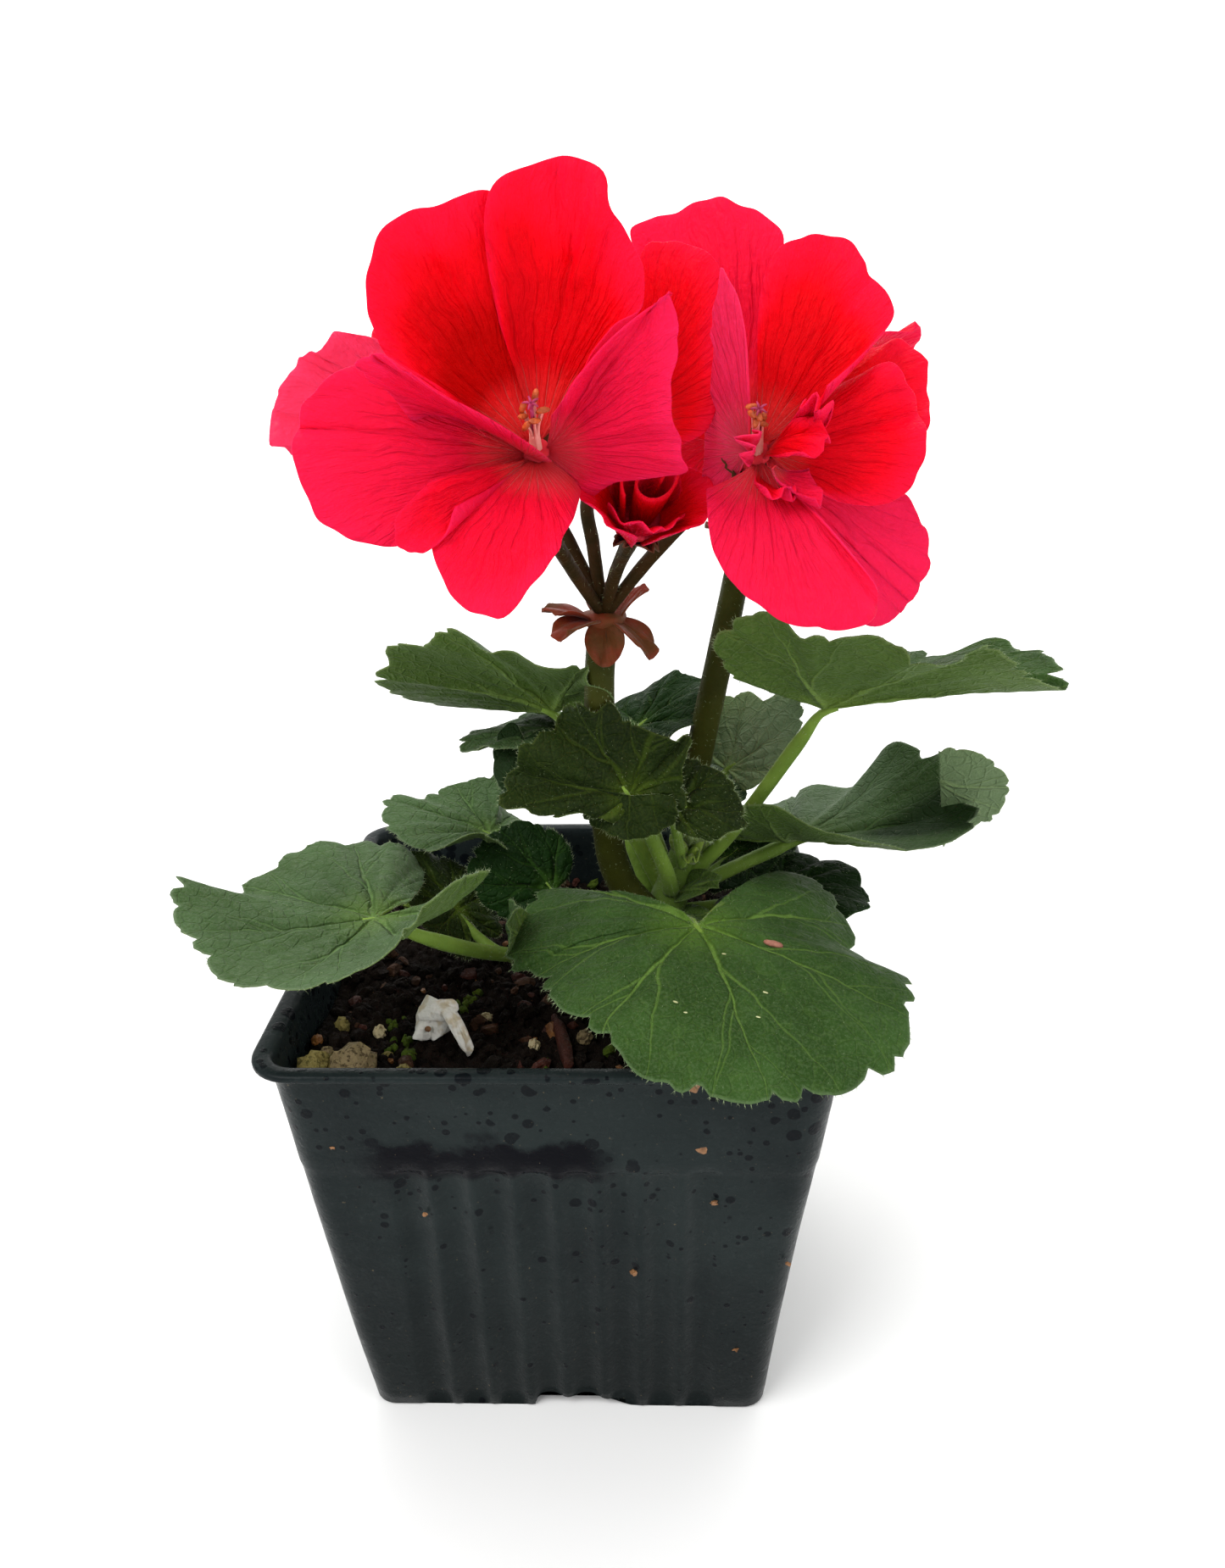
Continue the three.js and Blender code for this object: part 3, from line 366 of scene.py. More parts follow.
# Charcoal plastic with dried droplets, a wet smear under the rim and dusty scuffs
def potMaterial(name):
    tree, shader = newMaterial(name, **{"Specular IOR Level": 0.06})
    place = objectPlace(tree)
    parts = partsOf(tree, place)
    base = useGroup(tree, mottle, {"Place": place, "Scale": 40, "Ground": tone(33, 40, 40),
                                   "Patch": tone(21, 27, 28), "Amount": 0.8})["Colour"]
    spots = 0.0
    for scale, most in ((330, 0.32), (560, 0.27)):
        cells = addNode(tree, "ShaderNodeTexVoronoi", {"Vector": place, "Scale": scale, "Randomness": 1})
        pick = addNode(tree, "ShaderNodeSeparateColor", {0: cells.outputs["Color"]}).outputs[0]
        size = times(tree, rangeOf(tree, pick, 0.45, 1.0, 0, most),
                     rangeOf(tree, parts[2], 0.02, 0.07, 0.7, 1.4))
        inside = calc(tree, "SUBTRACT", cells.outputs["Distance"], size)
        spots = calc(tree, "MAXIMUM", spots, rangeOf(tree, inside, -0.05, 0.02, 1, 0))
    spots = times(tree, spots, rangeOf(tree, noiseOf(tree, place, 55), 0.3, 0.42))
    ragged = plus(tree, parts[2], rangeOf(tree, noiseOf(tree, place, 130, 3), 0.3, 0.7, -0.002, 0.0025))
    across = calc(tree, "ABSOLUTE", plus(tree, parts[0], 0.0105))
    flow = vectorCalc(tree, "MULTIPLY", {0: place, 1: (60, 60, 190)})
    smear = rangeOf(tree, parts[2], 0.0535, 0.0555)  # a ragged band, on the left half of the front alone
    for share in (rangeOf(tree, ragged, 0.0645, 0.0615), rangeOf(tree, parts[1], -0.03, -0.035),
                  rangeOf(tree, across, 0.015, 0.0215, 1, 0),
                  rangeOf(tree, noiseOf(tree, flow, 1, 5), 0.38, 0.5)):
        smear = times(tree, smear, share)
    dark = calc(tree, "MAXIMUM", times(tree, spots, 0.7), times(tree, smear, 0.95))
    dust = rangeOf(tree, noiseOf(tree, place, 1100, 4, 0.7), 0.52, 0.75, 0, 0.3)
    specks = rangeOf(tree, noiseOf(tree, place, 1500, 2), 0.72, 0.78, 0, 0.6)
    # darker towards the foot, then lighter dust, the dark droplets and smear, and pale specks
    for share, colour in ((rangeOf(tree, parts[2], 0, 0.05, 0.7, 0), tone(18, 22, 22)),
                          (dust, tone(52, 58, 58)), (dark, tone(0, 0, 6)), (specks, tone(112, 100, 78))):
        base = blendColour(tree, share, base, colour)
    rough = rangeOf(tree, noiseOf(tree, place, 260, 4), 0.3, 0.7, 0.22, 0.38)
    rough = calc(tree, "SUBTRACT", rough, times(tree, dark, 0.1))
    relief = plus(tree, grainOf(tree, 1600), times(tree, dark, 0.6))
    setSurface(tree, shader, base, rough, relief, 0.00012, 0.5)


def speckledMaterial(name, ground, speck, scale):
    tree, shader = newMaterial(name, **{"Specular IOR Level": 0.2})
    mask = rangeOf(tree, noiseOf(tree, objectPlace(tree), scale, 3, 0.7), 0.5, 0.62)
    base = blendColour(tree, times(tree, mask, 0.8), ground, speck)
    setSurface(tree, shader, base, rangeOf(tree, mask, 0, 1, 0.7, 0.95), grainOf(tree, 1400), 0.0004)


print("materials")
# Copies of the leaf finish: the second is greyer and paler, partly painted sheen; the third is darker,
# painted shade; the fourth is olive and darker, its darkness painted shade
leafMaterial("leafUpper", tone(36, 62, 17), tone(52, 82, 31), tone(104, 138, 58), tone(80, 112, 24),
             tone(98, 120, 82))
leafMaterial("leafGreyAndSheen", tone(54, 78, 38), tone(68, 94, 54), tone(94, 124, 70), tone(92, 120, 46),
             tone(110, 126, 98))
leafMaterial("leafPaintedShade", tone(5, 30, 0), tone(13, 43, 3), tone(44, 74, 22), tone(48, 78, 14),
             tone(42, 68, 28), 0.06)
leafMaterial("leafOliveAndShade", tone(16, 30, 2), tone(28, 44, 5), tone(62, 80, 20), tone(70, 90, 16),
             tone(66, 80, 30), 0.08)
leafMaterial("leafUnder", tone(60, 84, 26), tone(74, 100, 38), tone(112, 138, 66), tone(110, 136, 48),
             tone(116, 134, 84), under=True)
petalMaterial("petalFace", tone(164, 0, 0), tone(240, 2, 22), tone(238, 16, 54), tone(228, 26, 74),
              tone(176, 0, 10), tone(232, 150, 140), 0.22, 34)
petalMaterial("petalBack", tone(200, 2, 26), tone(214, 8, 44), tone(228, 26, 74), tone(226, 30, 84),
              tone(176, 4, 36), tone(220, 140, 130), 0.3, 40)
petalMaterial("budRed", tone(160, 0, 4), tone(204, 0, 12), tone(230, 14, 44), tone(222, 30, 70),
              tone(120, 0, 10), tone(180, 90, 80), 0.3, 26)
for name, ground, patch, scale, more in (
        ("petiole", (116, 146, 54), (88, 116, 38), 120, soft(0.05)),
        ("stemGreen", (96, 124, 46), (70, 88, 32), 110, soft(0.05)),
        ("budGreen", (132, 156, 58), (98, 124, 44), 260, {"bump": 0.0004, **soft(0.2)}),
        ("stalkOlive", (54, 58, 12), (38, 40, 4), 90, soft(0.02, 0.1)),
        ("pedicelBrown", (52, 32, 6), (30, 27, 2), 220, soft(0.02, 0.1)),
        ("sepal", (92, 44, 22), (60, 54, 18), 200, soft(0.04)),
        ("bract", (118, 38, 12), (62, 54, 10), 200, soft(0.08)),
        ("filament", (236, 168, 156), (220, 96, 96), 240, {}),
        ("anther", (206, 92, 34), (130, 52, 22), 700, {"bump": 0.0004}),
        ("stigma", (176, 44, 96), (130, 20, 50), 500, {}),
        ("peat", (24, 16, 10), (10, 7, 4), 300,
         {"roughness": (0.8, 0.98), "grainScale": 1200, "bump": 0.0012, "Specular IOR Level": 0.12}),
        ("bark", (70, 44, 26), (30, 18, 11), 350,
         {"roughness": (0.6, 0.9), "bump": 0.0006, "Specular IOR Level": 0.2}),
        ("barkStick", (66, 30, 20), (36, 17, 12), 260, {"bump": 0.0005, "Specular IOR Level": 0.2}),
        ("moss", (74, 92, 24), (42, 58, 14), 420,
         {"roughness": (0.8, 0.98), "bump": 0.0008, "Specular IOR Level": 0.15}),
        ("amber", (134, 84, 30), (74, 40, 14), 500, {"bump": 0.0006}),
        ("hair", (160, 176, 136), (134, 150, 108), 400, {"Specular IOR Level": 0.1}),
        ("tanBit", (138, 96, 58), (78, 48, 26), 700, {}),
        ("seed", (168, 112, 92), (120, 70, 54), 900, {"bump": 0.0004}),
        ("paleSpeck", (196, 200, 150), (150, 150, 96), 900, {})):
    plainMaterial(name, tone(*ground), tone(*patch), scale, **more)
speckledMaterial("perlite", tone(128, 112, 80), tone(44, 34, 22), 1300)
speckledMaterial("creamGrain", tone(190, 176, 138), tone(110, 92, 60), 900)
speckledMaterial("greenGrain", tone(124, 112, 62), tone(58, 54, 24), 1100)
speckledMaterial("dryFlake", tone(240, 238, 230), tone(206, 190, 156), 200)
potMaterial("charcoalPlastic")


def unit(values):
    values = np.asarray(values, float)
    return values / np.linalg.norm(values, axis=-1, keepdims=True)


# A part's points and faces, and what the materials read at each point
def newPart(points, faces, flat=None, share=None, smooth=True):
    points = np.asarray(points, float)
    return {
        "points": points,
        "faces": [(np.asarray(indices, int), slot) for indices, slot in faces],
        "flatPlace": points if flat is None else np.asarray(flat, float),
        "ringShare": np.zeros(len(points)) if share is None else np.asarray(share, float),
        "tint": np.zeros(len(points)),
        "smooth": smooth,
    }


def camelName(node):
    first, *others = node.split("_")
    return first + "".join(word.capitalize() for word in others)


def makePiece(name, parts, materials, nodes=()):
    def joined(key):
        return np.concatenate([part[key] for part in parts])

    corners, counts, slots, smooth, offset = [], [], [], [], 0
    for part in parts:
        for indices, place in part["faces"]:
            corners.append((indices + offset).ravel())
            counts.append(np.full(len(indices), indices.shape[1]))
            slots.append(np.full(len(indices), place))
            smooth.append(np.full(len(indices), part["smooth"]))
        offset += len(part["points"])
    corners, counts = np.concatenate(corners), np.concatenate(counts)
    mesh = bpy.data.meshes.new(name)
    mesh.vertices.add(offset)
    mesh.vertices.foreach_set("co", (joined("points") * mm).astype(np.float32).ravel())
    mesh.loops.add(len(corners))
    mesh.loops.foreach_set("vertex_index", corners.astype(np.int32))
    mesh.polygons.add(len(counts))
    mesh.polygons.foreach_set("loop_start", (np.cumsum(counts) - counts).astype(np.int32))
    mesh.polygons.foreach_set("material_index", np.concatenate(slots).astype(np.int32))
    mesh.polygons.foreach_set("use_smooth", np.concatenate(smooth))
    for label, kind, field in (("flatPlace", "FLOAT_VECTOR", "vector"), ("ringShare", "FLOAT", "value"),
                               ("tint", "FLOAT", "value")):
        attribute = mesh.attributes.new(label, kind, "POINT")
        attribute.data.foreach_set(field, joined(label).astype(np.float32).ravel())
    mesh.update(calc_edges=True)
    for material in materials:
        mesh.materials.append(finishes[material])
    piece = bpy.data.objects.new(name, mesh)
    bpy.context.scene.collection.objects.link(piece)
    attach(piece, "root")
    if nodes:
        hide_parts(*nodes)


# Point on an arc after s, when its slope turns evenly from start to end over length
def arcPoint(s, start, end, length):
    turn = (end - start) / length
    if abs(turn) < 1e-6:
        return s * math.cos(start), s * math.sin(start)
    now = start + turn * s
    return (np.sin(now) - math.sin(start)) / turn, (math.cos(start) - np.cos(now)) / turn


# A blade is drawn flat, with a across and b along its midline, and then bent in the way the solids are
def bladePlace(shape, wave=None):
    root = np.array(shape["root"], float)
    along = np.array(shape["tip"], float) - root
    chord = np.linalg.norm(along)
    along = along / chord
    face = np.array(shape["face"], float)
    normal = unit(face - along * face.dot(along))
    side = np.cross(along, normal)
    curl = math.radians(shape.get("curl", 0))
    back = math.radians(shape.get("back", shape.get("curl", 0)))
    fold = math.radians(shape.get("fold", 0))
    twist = math.radians(shape.get("twist", 0))
    left, right = (math.radians(value) for value in shape.get("bend", (0, 0)))
    length = chord if abs(curl) < 1e-6 else chord * curl / 2 / math.sin(curl / 2)
    half = shape["width"] / 2 if "width" in shape else length

    def place(a, b):
        ahead = b >= 0
        slope = np.where(ahead, curl / 2 - curl * b / length, curl / 2 - back * b / length)[..., None]
        run, rise = arcPoint(b, curl / 2, -curl / 2, length)
        runBack, riseBack = arcPoint(-b, -curl / 2, -curl / 2 - back, length)
        run = np.where(ahead, run, -runBack)[..., None]
        rise = np.where(ahead, rise, riseBack)[..., None]
        heading = along * np.cos(slope) + normal * np.sin(slope)
        up = np.cross(side, heading)
        turn = (twist * b / length)[..., None]
        out = side * np.cos(turn) - up * np.sin(turn)
        up = up * np.cos(turn) + side * np.sin(turn)
        reachLeft, liftLeft = arcPoint(np.abs(a), fold, fold + left, half)
        reachRight, liftRight = arcPoint(np.abs(a), fold, fold + right, half)
        reach = np.where(a < 0, -reachLeft, reachRight)[..., None]
        lift = np.where(a < 0, liftLeft, liftRight)
        if wave is not None:
            lift = lift + wave(a, b, half, length)
        return root + along * run + normal * rise + out * reach + up * lift[..., None]

    return place, length, half


def faceNormals(place, a, b):
    step = 0.05
    across = place(a + step, b) - place(a - step, b)
    ahead = place(a, b + step) - place(a, b - step)
    return unit(np.cross(across, ahead))


# Closed sheet: a fan from the root to the outline (a, b and lift), bent by place, with a rounded rim
def fanSheet(place, outline, rings, thickness, flat, relief=None, slots=(0, 1)):
    spokes = len(outline)
    share = np.linspace(0, 1, rings + 1)[1:] ** 0.85
    a, b, lift = (np.concatenate([[0], (share[:, None] ** power * outline[:, i]).ravel()])
                  for i, power in enumerate((1, 1, 2)))
    shares = np.concatenate([[0], np.repeat(share, spokes)])
    if relief is not None:
        lift = lift + relief(a, b, shares)
    middle = place(a, b) + faceNormals(place, a, b) * lift[:, None]
    grid = middle[1:].reshape(rings, spokes, 3)
    outward = np.gradient(np.concatenate([np.broadcast_to(middle[0], (1, spokes, 3)), grid]), axis=0)[1:]
    turned = unit(np.cross(np.gradient(grid, axis=1), outward))
    normal = np.concatenate([[unit(turned[0].mean(axis=0))], turned.reshape(-1, 3)])
    thick = (thickness / 2 * (1 - 0.45 * shares ** 10))[:, None]
    count = len(a)
    index = 1 + np.arange(rings * spokes).reshape(rings, spokes)
    quads = np.stack([index[:-1, :-1], index[:-1, 1:], index[1:, 1:], index[1:, :-1]], -1).reshape(-1, 4)
    caps = np.stack([np.zeros(spokes - 1, int), index[0, 1:], index[0, :-1]], -1)
    loop = np.concatenate([[0], index[:, -1], index[-1, ::-1][1:], index[::-1, 0][1:]])
    inner = np.concatenate([[0], index[:, -2], index[-2, ::-1][1:], index[::-1, 1][1:]])
    inner[0] = index[0, spokes // 2]
    away = middle[loop] - middle[inner]
    away = away / np.maximum(np.linalg.norm(away, axis=1, keepdims=True), 1e-6)
    rim = middle[loop] + away * thickness * 0.25
    rimIndex = 2 * count + np.arange(len(loop))
    nextLoop, nextRim = np.roll(loop, -1), np.roll(rimIndex, -1)
    upperRim = np.stack([rimIndex, nextRim, nextLoop, loop], -1)
    lowerRim = np.stack([loop + count, nextLoop + count, nextRim, rimIndex], -1)
    points = np.concatenate([middle + normal * thick, middle - normal * thick, rim])
    flats = flat(a, b)
    faces = [(quads, slots[0]), (caps, slots[0]), (upperRim, slots[0]),
             (quads[:, ::-1] + count, slots[1]), (caps[:, ::-1] + count, slots[1]), (lowerRim, slots[1])]
    part = newPart(points, faces, np.concatenate([flats, flats, flats[loop]]),
                   np.concatenate([shares, shares, shares[loop]]))
    part["margin"] = {"points": rim, "out": away}
    part["top"] = {"points": middle + normal * thick, "out": normal}
    part["bottom"] = {"points": middle - normal * thick, "out": -normal}
    return part


# Centripetal Catmull-Rom curve through the points, as dense points
def smoothCurve(points, steps=16):
    points = np.asarray(points, float)
    if len(points) == 2:
        return points[0] + (points[1] - points[0]) * np.linspace(0, 1, steps)[:, None]
    points = np.vstack([2 * points[0] - points[1], points, 2 * points[-1] - points[-2]])
    gaps = np.maximum(np.linalg.norm(np.diff(points, axis=0), axis=1) ** 0.5, 1e-4)
    dense = []
    for i in range(1, len(points) - 2):
        p0, p1, p2, p3 = points[i - 1:i + 3]
        d0, d1, d2 = gaps[i - 1:i + 2]
        leave = ((p1 - p0) / d0 - (p2 - p0) / (d0 + d1) + (p2 - p1) / d1) * d1
        arrive = ((p2 - p1) / d1 - (p3 - p1) / (d1 + d2) + (p3 - p2) / d2) * d1
        t = np.linspace(0, 1, steps, endpoint=False)[:, None]
        dense.append(p1 + leave * t + (3 * (p2 - p1) - 2 * leave - arrive) * t ** 2
                     + (2 * (p1 - p2) + leave + arrive) * t ** 3)
    return np.vstack(dense + [points[-2:-1]])


def evenly(points, count):
    lengths = np.concatenate([[0], np.cumsum(np.linalg.norm(np.diff(points, axis=0), axis=1))])
    wanted = np.linspace(0, lengths[-1], count)
    return np.stack([np.interp(wanted, lengths, points[:, i]) for i in range(points.shape[1])], -1)


# Faces between closed rings of points, with one point before the first ring and one after the last
def ringFaces(rings, sides):
    index = 1 + np.arange(rings * sides).reshape(rings, sides)
    turned = np.roll(index, -1, axis=1)
    quads = np.stack([index[:-1], turned[:-1], turned[1:], index[1:]], -1).reshape(-1, 4)
    caps = np.concatenate([np.stack([np.zeros(sides, int), turned[0], index[0]], -1),
                           np.stack([np.full(sides, rings * sides + 1), index[-1], turned[-1]], -1)])
    return quads, caps


# Faces of an open grid of points, and the loop of points around it
def gridFaces(columns, rows):
    index = np.arange(columns * rows).reshape(columns, rows)
    quads = np.stack([index[:-1, :-1], index[1:, :-1], index[1:, 1:], index[:-1, 1:]], -1).reshape(-1, 4)
    return quads, np.concatenate([index[:-1, 0], index[-1, :-1], index[:0:-1, -1], index[0, :0:-1]])


# Round tube along a route; ribs run along it and knots thicken it in places
def tubePart(route, radii, sides, steps, slot=0, ribs=0.0, knots=0.0, seed=1):
    centres = evenly(smoothCurve(route), steps + 1)
    heading = unit(np.gradient(centres, axis=0))
    across = [unit(np.cross(heading[0], (0.3, 0.9, 0.2)))]
    for direction in heading[1:]:
        across.append(unit(across[-1] - direction * across[-1].dot(direction)))
    across = np.array(across)
    beside = np.cross(heading, across)
    share = np.linspace(0, 1, steps + 1)
    radius = np.interp(share, np.linspace(0, 1, len(radii)), radii)
    draw = np.random.default_rng(seed)
    radius = radius * (1 + knots * (np.convolve(draw.uniform(-1, 1, steps + 3), (0.3, 0.4, 0.3), "valid")))
    angle = 2 * np.pi * np.arange(sides) / sides
    wobble = 1 + ribs * np.sin(5 * angle[None, :] + 2 * share[:, None])
    rings = centres[:, None] + radius[:, None, None] * wobble[..., None] * (
        across[:, None] * np.cos(angle)[None, :, None] + beside[:, None] * np.sin(angle)[None, :, None])
    points = np.concatenate([[centres[0] - heading[0] * radius[0] * 0.3], rings.reshape(-1, 3),
                             [centres[-1] + heading[-1] * radius[-1] * 0.3]])
    quads, caps = ringFaces(steps + 1, sides)
    flat = np.zeros((len(points), 3))
    flat[1:-1, 0] = np.tile(np.cos(angle) * 2, steps + 1)
    flat[1:-1, 1] = np.repeat(share * len(route) * 6, sides)
    shares = np.concatenate([[0], np.repeat(share, sides), [1]])
    part = newPart(points, [(quads, slot), (caps, slot)], flat, shares)
    part["skin"] = {"points": rings.reshape(-1, 3), "out": unit((rings - centres[:, None]).reshape(-1, 3))}
    return part


def ballGrid(rings, sides):
    polar = np.pi * np.arange(1, rings) / rings
    turn = 2 * np.pi * np.arange(sides) / sides
    body = np.stack([np.sin(polar)[:, None] * np.cos(turn), np.sin(polar)[:, None] * np.sin(turn),
                     np.cos(polar)[:, None] * np.ones(sides)], -1).reshape(-1, 3)
    quads, caps = ringFaces(rings - 1, sides)
    return np.vstack([[0, 0, 1], body, [0, 0, -1]]), quads[:, [0, 3, 2, 1]], caps[:, [0, 2, 1]]


def frameOf(direction):
    forward = unit(direction)
    helper = (0, 0, 1) if abs(forward[2]) < 0.9 else (0, 1, 0)
    side = unit(np.cross(helper, forward))
    return np.stack([side, np.cross(forward, side), forward])


def aroundAxis(side, up, angle):
    return side * math.cos(angle) + up * math.sin(angle)


# Uneven lump, stretched along its own axes; grooves run from end to end
def lumpPart(centre, size, direction, draw, rough, rings, sides, slot=0, grooves=0, smooth=True):
    points, quads, caps = ballGrid(rings, sides)
    stretch = 1 + rough * draw.uniform(-1, 1, len(points))
    if grooves:
        turn = np.arctan2(points[:, 1], points[:, 0])
        stretch = stretch * (1 - 0.22 * (1 - np.abs(points[:, 2])) * (0.5 + 0.5 * np.cos(grooves * turn)))
    local = points * stretch[:, None] * np.asarray(size, float)
    return newPart(local @ frameOf(direction) + np.asarray(centre, float), [(quads, slot), (caps, slot)],
                   smooth=smooth)


# Fine hairs as thin spikes: a triangle at the foot and a point at the tip
def hairPart(feet, directions, lengths, radius=0.024):
    directions = unit(directions)
    helper = np.where(np.abs(directions[:, 2:3]) < 0.9, (0, 0, 1), (0, 1, 0))
    side = unit(np.cross(helper, directions))
    up = np.cross(directions, side)
    corners = [feet + radius * aroundAxis(side, up, angle) for angle in (0, 2.094, 4.189)]
    tips = feet + directions * lengths[:, None]
    points = np.stack(corners + [tips], 1).reshape(-1, 3)
    first = 4 * np.arange(len(feet))[:, None]
    faces = np.concatenate([first + (0, 1, 3), first + (1, 2, 3), first + (2, 0, 3), first + (0, 2, 1)])
    return newPart(points, [(faces, 0)], smooth=False)


leafHairs, stemHairs = [], []


# Hairs at count drawn points of a skin, or at every one
def growHairs(store, skin, count, length, draw, lean=0.4):
    pick = slice(None) if count is None else draw.integers(0, len(skin["points"]), count)
    points = skin["points"][pick]
    directions = unit(unit(skin["out"][pick]) + draw.normal(0, lean, (len(points), 3)))
    store.append((points, directions, length * draw.uniform(0.5, 1.3, len(points))))
